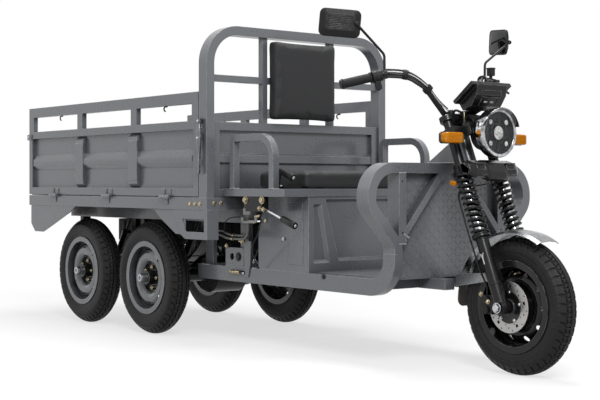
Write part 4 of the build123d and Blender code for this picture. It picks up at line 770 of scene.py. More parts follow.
@dataclass(frozen=True)
class Finish(Look):
    """One finish: colours, gloss, relief, worn edges with a painted highlight, dust, and painted shade in corners.

    Args:
        name: the material's name, which no material of the frame has.
        slot: the record's slot; not used.
        colour: main colour, linear.
        shade: the colour it drifts to, linear.
        gloss: lowest and highest roughness.
        relief: the kind of small relief.
        scale: how fine the relief is.
        depth: how deep the relief is, in metres.
        metallic: 1 for bare metal.
        coat: clear coat weight.
        wear_and_highlight: how much the edges show worn_and_highlight_colour, as wear and as a painted highlight.
        worn_and_highlight_colour: what shows at edges: rubbed paint, and a painted highlight.
        edge: radius to which edges are shaded round.
        dust: how much dust lies on it.
        dust_colour: the dust's colour.
        clouds: how fine the slow drift of the colour is.
        painted_shade: how dark the painted shade in its corners is.
        specular: level of its plain reflection.
    """

    name: str
    slot: str
    colour: Corner
    shade: Corner
    gloss: tuple[float, float]
    relief: Relief
    scale: float
    depth: float
    metallic: float = 0.0
    coat: float = 0.0
    wear_and_highlight: float = 0.0
    worn_and_highlight_colour: Corner = (0.3, 0.3, 0.31)
    edge: float = 0.002
    dust: float = 0.0
    dust_colour: Corner = (0.30, 0.28, 0.25)
    clouds: float = 3.0
    painted_shade: float = 0.75
    specular: float = 0.5

    def surface(self, n: Nodes) -> dict[str, object]:
        """Adds the groups that give this finish its look.

        Args:
            n: the material's nodes.

        Returns:
            What the shader's inputs hold or are linked from.
        """
        tone = n.group("tone", Colour=(*self.colour, 1), Shade=(*self.shade, 1), Clouds=self.clouds,
                       Gloss_low=self.gloss[0], Gloss_high=self.gloss[1])
        colour, rough = tone["Colour"], tone["Roughness"]
        edge = n.group("wear_and_highlight", Radius=self.edge, Amount=self.wear_and_highlight)
        # Edges take worn_and_highlight_colour: chips of real wear, and a painted highlight along every sharp edge.
        if self.wear_and_highlight:
            colour = n.mix(edge["Mask"], colour, (*self.worn_and_highlight_colour, 1))
        if self.dust:
            dust = n.group("dust", Amount=self.dust)[0]
            colour = n.mix(dust, colour, (*self.dust_colour, 1))
            rough = n.math("ADD", rough, n.math("MULTIPLY", dust, 0.4))
        # Painted shade: near black laid over corners and creases where ambient occlusion finds things close by.
        colour = n.mix(n.group("painted_shade", Depth=self.painted_shade)[0], colour, (0.004, 0.004, 0.0045, 1))
        height = n.group(self.relief.value, Scale=self.scale)["Height"]
        bump = n.add("ShaderNodeBump", {"Height": height, "Distance": self.depth, "Strength": 1.0,
                                        "Normal": edge["Normal"]})
        return {"Metallic": self.metallic, "Coat Weight": self.coat, "Coat Roughness": 0.12,
                "Specular IOR Level": self.specular, "Base Color": colour, "Roughness": rough,
                "Normal": bump.outputs[0]}


# A light worn_and_highlight_colour is partly rubbed edges and partly a painted highlight along edges; grime is how dark
# the painted shade in corners is.
PAINT = Finish("blue_grey_enamel", "frame_paint", (0.118, 0.125, 0.138), (0.132, 0.139, 0.153), (0.24, 0.36),
               Relief.ENAMEL, 260.0, 0.00008, coat=0.40, wear_and_highlight=0.9, worn_and_highlight_colour=(0.42, 0.43, 0.45), edge=0.0032,
               dust=0.10)
RIM_PAINT = Finish("rim_enamel", "frame_paint", (0.125, 0.131, 0.143), (0.09, 0.095, 0.105), (0.16, 0.28),
                   Relief.ENAMEL, 300.0, 0.00008, coat=0.5, wear_and_highlight=1.0, worn_and_highlight_colour=(0.50, 0.51, 0.52), edge=0.002,
                   dust=0.06, clouds=12.0, painted_shade=0.92)
VINYL = Finish("charcoal_vinyl", "vinyl", (0.0145, 0.0150, 0.0165), (0.021, 0.0215, 0.023), (0.42, 0.56), Relief.HIDE,
               420.0, 0.00030, edge=0.006, wear_and_highlight=0.8, worn_and_highlight_colour=(0.075, 0.076, 0.08), specular=0.32)
ENAMEL = Finish("black_enamel", "black_paint", (0.0070, 0.0070, 0.0075), (0.011, 0.011, 0.0115), (0.20, 0.36),
                Relief.ENAMEL, 260.0, 0.00006, coat=0.12, wear_and_highlight=0.5, worn_and_highlight_colour=(0.10, 0.10, 0.10), dust=0.04,
                specular=0.2)
CASE = Finish("battery_shell", "battery_case", (0.0085, 0.0085, 0.0095), (0.0065, 0.0065, 0.0070), (0.5, 0.65),
              Relief.MOULDED, 500.0, 0.0001, specular=0.15)
PLASTIC = Finish("black_moulding", "black_plastic", (0.0095, 0.0095, 0.0100), (0.014, 0.014, 0.0145), (0.30, 0.44),
                 Relief.MOULDED, 900.0, 0.00008, edge=0.003, wear_and_highlight=0.5, worn_and_highlight_colour=(0.085, 0.085, 0.088), specular=0.2)
GLOSSY = Finish("glossy_moulding", "black_plastic", (0.0065, 0.0065, 0.0070), (0.010, 0.010, 0.0105), (0.16, 0.26),
                Relief.ENAMEL, 300.0, 0.00005, coat=0.15, edge=0.0035, wear_and_highlight=1.0, worn_and_highlight_colour=(0.20, 0.20, 0.21),
                specular=0.2)
CHROME = Finish("bright_plating", "chrome", (0.70, 0.71, 0.73), (0.24, 0.245, 0.25), (0.05, 0.14), Relief.POLISHED,
                120.0, 0.00003, metallic=1.0, dust=0.05, clouds=34.0)
PLATING = Finish("fender_plating", "chrome", (0.52, 0.53, 0.55), (0.20, 0.205, 0.21), (0.22, 0.34), Relief.POLISHED,
                 70.0, 0.00006, metallic=1.0, dust=0.10, clouds=11.0, painted_shade=0.35)
MIRROR = Finish("dark_mirror", "chrome", (0.040, 0.041, 0.043), (0.055, 0.056, 0.058), (0.04, 0.08), Relief.POLISHED,
                60.0, 0.00001, metallic=1.0)
STEEL = Finish("ground_steel", "disc_steel", (0.50, 0.49, 0.48), (0.38, 0.375, 0.37), (0.24, 0.38), Relief.BRUSHED,
               160.0, 0.00006, metallic=1.0, dust=0.08)
ZINC = Finish("bright_zinc", "disc_steel", (0.62, 0.63, 0.65), (0.44, 0.45, 0.47), (0.22, 0.36), Relief.POLISHED,
              300.0, 0.00005, metallic=1.0, dust=0.06)
LATCH = Finish("latch_plating", "disc_steel", (0.25, 0.255, 0.26), (0.13, 0.132, 0.136), (0.24, 0.38), Relief.POLISHED,
               200.0, 0.00008, metallic=1.0, dust=0.06, clouds=24.0)
BRASS = Finish("yellow_zinc", "disc_steel", (0.56, 0.47, 0.30), (0.34, 0.29, 0.20), (0.24, 0.38), Relief.POLISHED,
               300.0, 0.00005, metallic=1.0, dust=0.06, clouds=30.0)
RUBBER = Finish("moulded_rubber", "rubber", (0.075, 0.064, 0.056), (0.030, 0.026, 0.023), (0.60, 0.75),
                Relief.RUBBER, 260.0, 0.0002, dust=0.15, clouds=7.0)
GRIP = Finish("grip_rubber", "rubber", (0.0075, 0.0075, 0.0080), (0.012, 0.012, 0.0125), (0.46, 0.60), Relief.RUBBER,
              500.0, 0.00015, specular=0.22)
TYRE = Finish("tyre_rubber", "tyre", (0.0085, 0.0085, 0.0088), (0.0135, 0.0132, 0.013), (0.42, 0.60), Relief.RUBBER,
              420.0, 0.00012, edge=0.0012, wear_and_highlight=0.6, worn_and_highlight_colour=(0.065, 0.063, 0.061), dust=0.22,
              dust_colour=(0.075, 0.071, 0.066), painted_shade=0.9, specular=0.22)
WHEEL_BLACK = Finish("wheel_black", "black_paint", (0.0085, 0.0085, 0.0090), (0.013, 0.013, 0.0135), (0.16, 0.28),
                     Relief.ENAMEL, 260.0, 0.00006, coat=0.25, wear_and_highlight=1.0, worn_and_highlight_colour=(0.30, 0.30, 0.30), dust=0.05,
                     specular=0.2)
GREY_HOSE = Finish("grey_sleeve", "black_plastic", (0.24, 0.237, 0.225), (0.15, 0.148, 0.14), (0.42, 0.55),
                   Relief.MOULDED, 400.0, 0.0001, painted_shade=0.5)
PALE = Finish("pale_moulding", "black_plastic", (0.52, 0.52, 0.50), (0.40, 0.40, 0.39), (0.40, 0.52),
              Relief.MOULDED, 500.0, 0.0001, painted_shade=0.0)
LAMP = Finish("lamp_reflector", "chrome", (0.78, 0.77, 0.74), (0.22, 0.22, 0.21), (0.15, 0.30), Relief.POLISHED,
              300.0, 0.0004, clouds=110.0, painted_shade=0.0)
# Weld beads about three times lighter than the frame's paint: a painted highlight on the beads.
WELD = Finish("weld_with_painted_highlight", "frame_paint", (0.34, 0.35, 0.37), (0.20, 0.205, 0.22), (0.22, 0.34), Relief.ENAMEL,
              120.0, 0.0003, coat=0.4, painted_shade=0.3)
# Lighter paint for the apron's bars and the hinge sleeves: partly rubbed paint, partly a painted highlight on their
# raised edges.
TREAD = Finish("tread_paint_wear_and_highlight", "frame_paint", (0.19, 0.20, 0.215), (0.14, 0.147, 0.16), (0.24, 0.36),
               Relief.ENAMEL, 260.0, 0.00008, coat=0.4, painted_shade=0.0, clouds=9.0)


def dress(finish: Finish, *nodes: str) -> None:
    """Gives frame nodes a finish through their material slots.

    Args:
        finish: the finish.
        nodes: the nodes' names.
    """
    for name in nodes:
        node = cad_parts[name]
        material = finish.material()
        for entry in node.material_slots:
            entry.material = material
        if not node.material_slots:
            node.data.materials.append(material)
        log.info("%s: %s", name, finish.name)


# ---- wheels -----------------------------------------------------------------------------------
@dataclass
class Tyre:
    """Cross-ply tyre with a blocked tread, beads on the rim and ribs on its sidewalls.

    Args:
        node: the frame node that it replaces.
        body: the wheel's body.
        centre: the wheel's centre.
        radius: over the tread.
        width: over the sidewalls.
        pitches: tread blocks round the wheel.
        groove: depth of the tread.
        steps: divisions round the wheel.
        seat: radius of the rim's bead seat.
        flange: radius of the rim's flange.
    """

    node: str
    body: str
    centre: Corner
    radius: float
    width: float
    pitches: int = 46
    groove: float = 0.0075
    steps: int = 552
    seat: float = 0.152
    flange: float = 0.171

    def outline(self) -> np.ndarray:
        """Half section from the crown to the bead as (radius, y) corners, evenly spaced where the tread lies.

        Returns:
            Rows of radius and y.
        """
        half, r = self.width / 2, self.radius
        y = np.linspace(0.0, half * TREAD_SHARE, 19)
        crown = r - 0.026 * (y / (half * TREAD_SHARE)) ** 2.3
        tread = np.stack([crown, y], -1)
        shoulder = [[r - 0.033, half * 0.93], [r - 0.043, half * 0.985], [r - 0.052, half]]
        ribs = np.array([[0.034, 0.990], [0.0335, 0.975], [0.0300, 0.968], [0.0292, 0.984], [0.0262, 0.976],
                         [0.0255, 0.958], [0.018, 0.945], [0.0165, 0.905], [0.012, 0.90]])
        bead = [[self.flange + 0.006, half - 0.0075], [self.flange + 0.001, half - 0.0085],
                [self.seat + 0.0005, half - 0.0090], [self.seat + 0.0003, half * 0.5], [self.seat + 0.0003, 0.0]]
        return np.vstack([tread, shoulder, ribs * [1.0, half] + [self.flange, 0.0], bead])

    def tread(self, turn: np.ndarray, y: np.ndarray) -> np.ndarray:
        """Depth of the grooves: zigzag rib edges and slanted cuts between shoulder blocks.

        Args:
            turn: angle round the wheel, in pitches.
            y: distance across the tread, as a share of half its width.

        Returns:
            0 on the blocks and 1 in the grooves.
        """
        wave = np.abs(((turn + 0.25 * np.sign(y)) % 1.0) - 0.5) * 2.0
        across = np.abs(y)
        middle = np.abs(across - (0.20 + 0.07 * wave)) < 0.045
        outer = np.abs(across - (0.53 + 0.08 * wave)) < 0.050
        slant = ((turn - 0.45 * across + 0.25 * np.sign(y)) % 1.0) < 0.24
        cuts = slant & (across > 0.60) & (across < 1.0)
        sipes = ((((turn * 2.0) + 0.8 * across) % 1.0) < 0.22) & (across > 0.26) & (across < 0.50)
        return np.maximum(np.maximum(middle * 1.0, outer * 1.0), np.maximum(cuts * 1.0, sipes * 0.55))

    def shell(self) -> Shell:
        """Turned outline, less the grooves, with low bars on the shoulders.

        Returns:
            The closed tyre.
        """
        half_line = self.outline()
        line = np.vstack([half_line[::-1] * np.array([1.0, -1.0]), half_line[1:]])
        t = np.arange(self.steps) / self.steps
        share = line[:, 1] / (self.width / 2 * TREAD_SHARE)
        on_tread = (line[:, 0] > self.radius - 0.0265) & (np.abs(share) <= 1.001)
        depth = self.tread(t[:, None] * self.pitches, np.where(on_tread, share, 2.0)[None, :]) * self.groove
        depth = np.where(on_tread[None, :], depth, 0.0)
        shoulder = (line[:, 0] < self.radius - 0.028) & (line[:, 0] > self.radius - 0.046)
        bars = ((t[:, None] * self.pitches - 0.42 + 0.25 * np.sign(line[:, 1])[None, :]) % 1.0 > 0.24)
        push = np.where(shoulder[None, :] & bars, 0.0022, 0.0)
        radius = line[None, :, 0] - depth
        y = line[None, :, 1] + push * np.sign(line[None, :, 1])
        y = np.clip(y, -self.width / 2, self.width / 2)
        angle = t[:, None] * TURN
        points = np.stack([radius * np.cos(angle), np.broadcast_to(y, radius.shape), radius * np.sin(angle)], -1)
        return grid(points, True, True).moved(self.centre)

    def build(self) -> bpy.types.Object:
        """Makes the tyre in the node's place."""
        return make_piece(f"{self.node}_treaded", self.shell(), TYRE, self.body, (self.node,), crease=28)


def build_wheels() -> None:
    """Builds the five tyres and the rear hubs, and dresses the rims."""
    Tyre("front_tyre", "front_wheel", tuple(FRONT_AXLE), FRONT_TYRE_R, 0.096, pitches=44, steps=528).build()
    for number, x in enumerate(REAR_AXLES, 1):
        for side, sign in SIDES:
            body, centre = f"rear_wheel_{side}_{number}", (x, sign * REAR_WHEEL_Y, REAR_TYRE_R)
            Tyre(f"rear_tyre_{side}_{number}", body, centre, REAR_TYRE_R, 0.108).build()
            dress(RIM_PAINT, f"rear_rim_{side}_{number}")
            build_rear_hub(f"rear_hub_{side}_{number}", body, centre, sign)
    dress(WHEEL_BLACK, "front_rim")
    build_brake_disc()


def build_rear_hub(name: str, body: str, centre: Corner, sign: int) -> None:
    """Makes the black hub cover, five yellow nuts and the bright cap of one rear wheel.

    Args:
        name: start of the pieces' names.
        body: the wheel's body.
        centre: the wheel's centre.
        sign: 1 on the left side and -1 on the right.
    """
    cover = lathe([(0.019, 0.0440), (0.019, 0.0466), (0.0325, 0.0466), (0.0336, 0.0455), (0.0336, 0.0048),
                   (0.0697, 0.0048), (0.0694, 0.0036), (0.0325, 0.0036), (0.0325, 0.0440)], 60, closed=True)
    nut = bolt(0.0108, 0.0185).turned("x", -QUARTER).moved((0.050, 0.0048, 0))
    stud = [(0, 0.018), (0.0048, 0.018), (0.0048, 0.0262), (0.0036, 0.0274), (0, 0.0274)]
    nut += lathe(stud, 12).moved((0.050, 0, 0))
    nuts = join([nut.turned("y", number * TURN / 5) for number in range(5)])
    cap = lathe([(0, 0.046), (0.0212, 0.046), (0.0212, 0.072), (0.0190, 0.0785), (0.0120, 0.0800), (0.0110, 0.0786),
                 (0, 0.0784)], 36)
    for label, shell, finish, bevel in (("cover", cover, WHEEL_BLACK, 0.0), ("nuts", nuts, BRASS, 0.0006),
                                        ("cap", cap, ZINC, 0.0)):
        make_piece(f"{name}_{label}", shell.sided(sign).moved(centre), finish, body, bevel=bevel)


def build_brake_disc() -> None:
    """Makes the drilled and slotted disc, its black carrier with bright bolts, and the tyre's valve."""
    holes = [circle(0, 0, 0.0575, 64)]
    slots = [0.25 + number * TURN / 5 for number in range(5)]
    for turn in slots:
        t = turn + np.linspace(-0.075, 0.075, 6)
        arc = np.stack([np.cos(t), np.sin(t)], -1)
        holes.append(np.vstack([0.0815 * arc, 0.0715 * arc[::-1]]))
    for number in range(30):
        turn, radius = 0.12 + number * TURN / 30, (0.0660, 0.0765, 0.0870)[number % 3]
        gap = min(abs((turn - slot + math.pi) % TURN - math.pi) for slot in slots)
        if radius != 0.0765 or gap > 0.12:
            holes.append(circle(radius * math.cos(turn), radius * math.sin(turn), 0.0027, 10))
    disc = pierced(circle(0, 0, 0.0953, 120), holes, -0.0022, 0.0022).turned("x", QUARTER)
    make_piece("brake_disc_drilled", disc.moved(FRONT_AXLE + [0, -0.059, 0]), STEEL, "front_wheel", ("brake_disc",),
               crease=30)
    carrier = lathe([(0.0125, -0.050), (0.040, -0.050), (0.040, -0.0565), (0.0605, -0.0565), (0.0605, -0.0618),
                     (0.0520, -0.0618), (0.0465, -0.0590), (0.030, -0.0590), (0.028, -0.0640), (0.0125, -0.0640)],
                    64, closed=True)
    make_piece("brake_disc_carrier", carrier.moved(FRONT_AXLE), WHEEL_BLACK, "front_wheel")
    heads = [(0.0545 * math.cos(turn), -0.0618, 0.0545 * math.sin(turn)) for turn in slots]
    make_piece("brake_disc_bolts", bolts(heads, "-y", 0.0050, 0.0026).moved(FRONT_AXLE), ZINC, "front_wheel")
    turn = math.radians(84)
    foot = np.array([0.1270 * math.cos(turn), -0.016, 0.1270 * math.sin(turn)])
    tip = foot + np.array([-0.004, -0.022, -0.006])
    valve = aimed(lathe([(0, 0), (0.0060, 0), (0.0060, 0.004), (0.0042, 0.006), (0.0042, 0.024), (0.0032, 0.026),
                         (0, 0.026)], 14, "z"), foot, tip)
    make_piece("front_valve", valve.moved(FRONT_AXLE), BRASS, "front_wheel")


# ---- fork springs -------------------------------------------------------------------------------
@dataclass
class ForkSprings:
    """Bright tubes of the fork, each in a black coil spring between two cups, in the steering frame.

    Args:
        low: foot of the lower cups.
        high: top of the upper cups.
        tube: radius of the tubes.
        coil: radius of the springs to the middle of their wire.
        wire: radius of the wire.
        turns: of each spring.
        cup: radius of the cups.
    """

    low: float = 0.268
    high: float = 0.540
    tube: float = 0.015
    coil: float = 0.0300
    wire: float = 0.0050
    turns: float = 12.0
    cup: float = 0.0350

    def helix(self) -> Shell:
        """Wire swept along (R cos a, R sin a, rise): the rise is a smooth step that flattens both end turns.

        Returns:
            The spring's surface.
        """
        t = np.linspace(0, 1, int(self.turns * 26))
        angle = t * self.turns * TURN
        dead = 0.05
        ease = np.clip((t - dead) / (1 - 2 * dead), 0, 1)
        low, high = self.low + 0.010 + self.wire, self.high - 0.010 - self.wire
        path = np.stack([LEG[0] + self.coil * np.cos(angle), LEG[1] + self.coil * np.sin(angle),
                         low + (high - low) * ease], -1)
        return sweep(path, ring(self.wire, 10))

    def sleeve(self, profile: Profile) -> Shell:
        """Turned part on the fork tube's axis."""
        return lathe(profile, 36, "z").moved(LEG)

    def build(self) -> None:
        """Makes the springs, tubes and cups of both legs."""
        springs = self.helix().both().steered()
        make_piece("fork_coils", springs, ENAMEL, "steering", ("fork_springs",), crease=60)
        low, high, cup = self.low, self.high, self.cup
        tube = self.sleeve(rect(0, self.tube, low, high))
        guard = self.sleeve([(0, low + 0.008), (0.0205, low + 0.008), (0.0205, high - 0.13), (0.0185, high - 0.126),
                             (0, high - 0.126)])
        make_piece("fork_tubes", (tube + guard).both().steered(), CHROME, "steering")
        foot = self.sleeve([(0, low), (cup * 0.8, low), (cup, low + 0.004), (cup, low + 0.011),
                            (cup - 0.003, low + 0.011), (cup - 0.004, low + 0.008), (0, low + 0.008)])
        cap = self.sleeve([(0, high - 0.009), (cup - 0.004, high - 0.009), (cup - 0.003, high - 0.014),
                           (cup, high - 0.014), (cup, high), (0, high)])
        make_piece("fork_spring_cups", (foot + cap).both().steered(), ENAMEL, "steering")


# ---- soft parts ---------------------------------------------------------------------------------
@dataclass
class Pad:
    """Stuffed vinyl pad: a block with soft edges, swollen by cloth pressure and drawn in between its corners.

    Args:
        name: the piece's name.
        node: the frame node that it replaces.
        low: lowest corner.
        high: highest corner.
        face: axis along which it is crowned, 0 for x or 2 for z.
        shrink: how much smaller it starts than its box, on its free sides.
        cap: how far a point may move, in metres.
        fill: how firmly it is stuffed; not used.
        thin: power that squares it along the crowned axis; smaller is squarer.
        wide: power that squares it across that axis.
    """

    name: str
    node: str
    low: Corner
    high: Corner
    face: int
    shrink: float = 0.004
    cap: float = 0.008
    fill: float = 0.75
    thin: float = 0.20
    wide: float = 0.085

    def superblock(self) -> Shell:
        """Surface x, y, z = size * signed powers of cos and sin: a block with soft edges, flat at its back.

        Returns:
            The closed start shape.
        """
        low, high = np.array(self.low), np.array(self.high)
        inset = np.full(3, self.shrink)
        inset[self.face] = 0.0
        low, high = low + inset, high - inset
        high[self.face] -= self.shrink
        centre, half = (low + high) / 2, (high - low) / 2
        u = np.linspace(-QUARTER, QUARTER, 61)[:, None]
        v = ((np.arange(160) + 0.5) * TURN / 160)[None, :]
        thin, wide = self.thin, self.wide

        def power(value: np.ndarray, exponent: float) -> np.ndarray:
            """Signed power."""
            return np.sign(value) * np.abs(value) ** exponent

        flat = [axis for axis in range(3) if axis != self.face]
        points = np.empty((61, 160, 3))
        points[..., flat[0]] = power(np.cos(u), thin) * power(np.cos(v), wide)
        points[..., flat[1]] = power(np.cos(u), thin) * power(np.sin(v), wide)
        points[..., self.face] = np.broadcast_to(power(np.sin(u), thin), (61, 160))
        return grid(centre + points * half, False, True)

    def swell(self, piece: bpy.types.Object) -> None:
        """Remeshes the pad, lets cloth pressure swell it, and holds each point's move to the cap.

        Args:
            piece: the start shape, as an object at the origin.
        """
        run_modifier(piece, "REMESH", mode="VOXEL", voxel_size=0.006)
        rest = vertex_array(piece.data)
        cloth = piece.modifiers.new("cloth", "CLOTH")
        cloth.settings.use_pressure = True
        cloth.settings.uniform_pressure_force = 4.0
        cloth.settings.tension_stiffness = 12.0
        cloth.settings.effector_weights.gravity = 0.0
        cloth.point_cache.frame_start, cloth.point_cache.frame_end = 1, 20
        for number in range(1, 21):
            bpy.context.scene.frame_set(number)
        graph = bpy.context.evaluated_depsgraph_get()
        swollen = vertex_array(piece.evaluated_get(graph).data)
        piece.modifiers.clear()
        bpy.context.scene.frame_set(1)
        move = swollen - rest
        length = np.linalg.norm(move, axis=1)[:, None]
        rest = rest + move * np.minimum(1.0, self.cap / np.maximum(length, 1e-9))
        rest = self.pull_seams(rest)
        low, high = np.array(self.low), np.array(self.high)
        rest[:, self.face] = np.maximum(rest[:, self.face], low[self.face])
        rest = np.clip(rest, low - 0.004, high + 0.004)
        piece.data.vertices.foreach_set("co", rest.astype(np.float32).ravel())
        piece.data.update()

    def pull_seams(self, points: np.ndarray) -> np.ndarray:
        """Draws the sides in between the corners by a shallow parabola.

        Args:
            points: the pad's points.

        Returns:
            The same points, moved.
        """
        low, high = np.array(self.low), np.array(self.high)
        centre, half = (low + high) / 2, (high - low) / 2
        share = (points - centre) / half
        flat = [axis for axis in range(3) if axis != self.face]
        for axis, other in (flat, flat[::-1]):
            pull = 0.004 * (1 - np.clip(share[:, other], -1, 1) ** 2) * np.clip(share[:, axis], -1, 1) ** 7
            points[:, axis] -= pull
        return points

    def build(self) -> bpy.types.Object:
        """Makes the pad.

        Returns:
            The pad.
        """
        piece = make_piece(self.name, self.superblock(), VINYL, "chassis", (self.node,), crease=180)
        self.swell(piece)
        piece.data.polygons.foreach_set("use_smooth", np.ones(len(piece.data.polygons), bool))
        smooth = piece.modifiers.new("smooth", "SUBSURF")
        smooth.levels = smooth.render_levels = 1
        return piece


def vertex_array(mesh: bpy.types.Mesh) -> np.ndarray:
    """A mesh's points as rows."""
    flat = np.empty(len(mesh.vertices) * 3, np.float32)
    mesh.vertices.foreach_get("co", flat)
    return flat.reshape(-1, 3).astype(float)


def run_modifier(piece: bpy.types.Object, kind: str, **settings: object) -> None:
    """Adds one modifier and applies it at once.

    Args:
        piece: the object.
        kind: the modifier's type.
        settings: its properties.
    """
    modifier = piece.modifiers.new(kind.lower(), kind)
    for key, value in settings.items():
        setattr(modifier, key, value)
    graph = bpy.context.evaluated_depsgraph_get()
    made = bpy.data.meshes.new_from_object(piece.evaluated_get(graph))
    materials = list(piece.data.materials)
    piece.modifiers.clear()
    piece.data = made
    if not made.materials:
        for material in materials:
            made.materials.append(material)


def build_pads() -> None:
    """Builds the bench pad and the back pad."""
    for name, node, face, fill in (("bench_pad", "seat_cushion", 2, 0.75), ("back_pad", "backrest", 0, 0.6)):
        low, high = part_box(node)
        Pad(name, node, tuple(low), tuple(high), face, fill=fill).build()


# ---- lamps ----------------------------------------------------------------------------------------
@dataclass(frozen=True)
class Lens(Look):
    """Clear or tinted moulding over a bright inside.

    Args:
        name: the material's name, which no material of the frame has.
        slot: the record's slot; not used.
        colour: tint.
        ribs: how many flutes for each metre; none at 0.
        clear: how much light passes straight through.
        coat: weight of its gloss.
        bend: index of refraction.
        rough: lowest roughness.
    """

    name: str
    slot: str
    colour: Corner
    ribs: float
    clear: float = 0.0
    coat: float = 0.6
    bend: float = 1.5
    rough: float = 0.08

    def surface(self, n: Nodes) -> dict[str, object]:
        """Adds the flutes and the uneven gloss of this lens.

        Args:
            n: the material's nodes.

        Returns:
            What the shader's inputs hold or are linked from.
        """
        place = n.place()
        waves = n.add("ShaderNodeTexWave", {"Vector": place, "Scale": self.ribs, "Distortion": 0.0},
                      bands_direction="Z").outputs[1]
        deep = tuple(value * (0.7 if self.ribs else 1.0) for value in self.colour)
        values = {"Transmission Weight": self.clear, "IOR": self.bend, "Coat Weight": self.coat, "Coat Roughness": 0.05,
                  "Base Color": n.mix(n.ramp(waves, 0.15, 0.85), (*deep, 1), (*self.colour, 1)),
                  "Roughness": n.ramp(n.noise(place, 60.0), 0.0, 1.0, self.rough, self.rough * 2.5)}
        if self.ribs:
            values["Normal"] = n.add("ShaderNodeBump", {"Height": waves, "Distance": 0.0006}).outputs[0]
        return values


AMBER = Lens("amber_moulding", "amber_lens", (0.57, 0.20, 0.002), 60.0, coat=0.05, bend=1.22)
RED = Lens("red_moulding", "red_lens", (0.38, 0.012, 0.010), 60.0, coat=0.3)
GLASS = Lens("lamp_glass", "chrome", (0.96, 0.97, 0.98), 0.0, 1.0, coat=0.0, bend=1.12, rough=0.01)


# ---- front lamps and cowl ---------------------------------------------------------------------------
@dataclass
class Headlight:
    """Round lamp on the fork: plated ring and peak, dark face, one large and four small lamps, clear glass.

    Args:
        face: the ring's front, along x.
        height: the lamp's axis.
        radius: of the ring.
        opening: inner radius of the ring.
    """

    face: float = BED_FRONT + 1.209
    height: float = 0.897
    radius: float = 0.0915
    opening: float = 0.0795

    def turned(self, profile: Profile, steps: int, y: float = 0.0, z: float = 0.0, closed: bool = False) -> Shell:
        """Turned part along x, measured from the ring's front, about the lamp's axis or a point beside it."""
        return lathe(profile, steps, "x", closed).moved((self.face, y, self.height + z))

    def ring_and_peak(self) -> Shell:
        """Plated ring over the bowl's edge, and a peak that fades out at both ends of its arc.

        Returns:
            Ring and peak in one surface.
        """
        r, opening = self.radius, self.opening
        skin = [(r - 0.004, -0.036), (r + 0.0010, -0.036), (r + 0.0016, -0.030), (r + 0.0022, -0.016),
                (r + 0.0016, -0.003), (r - 0.0012, 0.0014), (r - 0.0050, 0.0020), (opening + 0.001, 0.0006),
                (opening - 0.0012, -0.0020), (opening - 0.0014, -0.0096), (opening + 0.001, -0.0098)]
        t = np.radians(np.linspace(12, 168, 90))[:, None]
        fade = np.sin((t - t[0]) / (t[-1] - t[0]) * math.pi) ** 0.35
        low, high = np.full_like(t, -0.018), -0.018 + 0.037 * fade
        out, into = r + 0.0036 + 0 * t, r - 0.0006 + 0 * t
        along = np.hstack([low, high - 0.003, high, high, high - 0.003, low])
        radius = np.hstack([out, out, out - 0.0007, into + 0.0004, into, into])
        peak = grid(np.stack([along, radius * np.cos(t), radius * np.sin(t)], -1), False, True, True)
        return self.turned(skin, 96, closed=True) + peak.moved((self.face, 0, self.height))

    def lamp(self, radius: float, foot: float, start: float, rise: float, steps: int, y: float = 0.0, z: float = 0.0
             ) -> Shell:
        """One lamp: a quarter round, radius * cos a and start + rise * sin a, on a flat foot.

        Args:
            radius: of the lamp.
            foot: where its flat side lies.
            start: where the quarter round starts.
            rise: how far the quarter round rises.
            steps: divisions of the full turn.
            y: shift across the vehicle.
            z: shift upwards.

        Returns:
            The lamp.
        """
        dome = [(radius * math.cos(a * QUARTER), start + rise * math.sin(a * QUARTER)) for a in np.linspace(0, 1, 9)]
        return self.turned([(0, foot), (radius, foot)] + dome, steps, y, z)

    def build(self) -> None:
        """Makes all pieces of the lamp."""
        dress(GLOSSY, "headlight")
        make_piece("headlight_ring", self.ring_and_peak(), CHROME, "steering", crease=40)
        wings = [prism(rect(-0.0035, 0.0035, *ends), -0.0099, -0.0070, "x")
                 for ends in ((0.029, 0.076), (-0.076, -0.029))]
        dark = self.turned([(0, -0.0102), (0.0788, -0.0102), (0.0788, -0.0050), (0.0740, -0.0050), (0.0660, -0.0088),
                            (0.0360, -0.0092), (0.0320, -0.0070), (0.0280, -0.0070), (0.0280, -0.0086),
                            (0, -0.0086)], 96)
        make_piece("headlight_face", dark + join(wings).moved((self.face, 0, self.height)), GLOSSY, "steering")
        spots = [(y, z) for y in (-0.042, 0.042) for z in (-0.040, 0.040)]
        edge = [(0.0094, -0.0092), (0.0112, -0.0092), (0.0112, -0.0062), (0.0094, -0.0068)]
        rims = [self.turned(edge, 24, y, z, True) for y, z in spots]
        bowl = self.turned(rect(0.0262, 0.0278, -0.0088, -0.0052), 48, closed=True)
        make_piece("headlight_rims", join(rims + [bowl]), CHROME, "steering")
        lamps = [self.lamp(0.0260, -0.0090, -0.0084, 0.0050, 36)]
        lamps += [self.lamp(0.0094, -0.0092, -0.0080, 0.0024, 20, y, z) for y, z in spots]
        make_piece("headlight_lamps", join(lamps), LAMP, "steering")
        glass = self.turned([(0, -0.0030), (0.0786, -0.0046), (0.0786, -0.0020), (0.060, 0.0002), (0.030, 0.0014),
                             (0, 0.0018)], 96)
        make_piece("headlight_glass", glass, GLASS, "steering")
        mark = prism(rect(-0.0285, -0.0105, -0.008, 0.008), 0.0925, 0.0965)
        for side, sign in SIDES[::-1]:
            placed = mark.sided(sign).turned("x", 0.10 * sign).moved((self.face, 0, self.height - 0.009))
            make_piece(f"headlight_marker_{side}", placed, AMBER, "steering", bevel=0.0012)


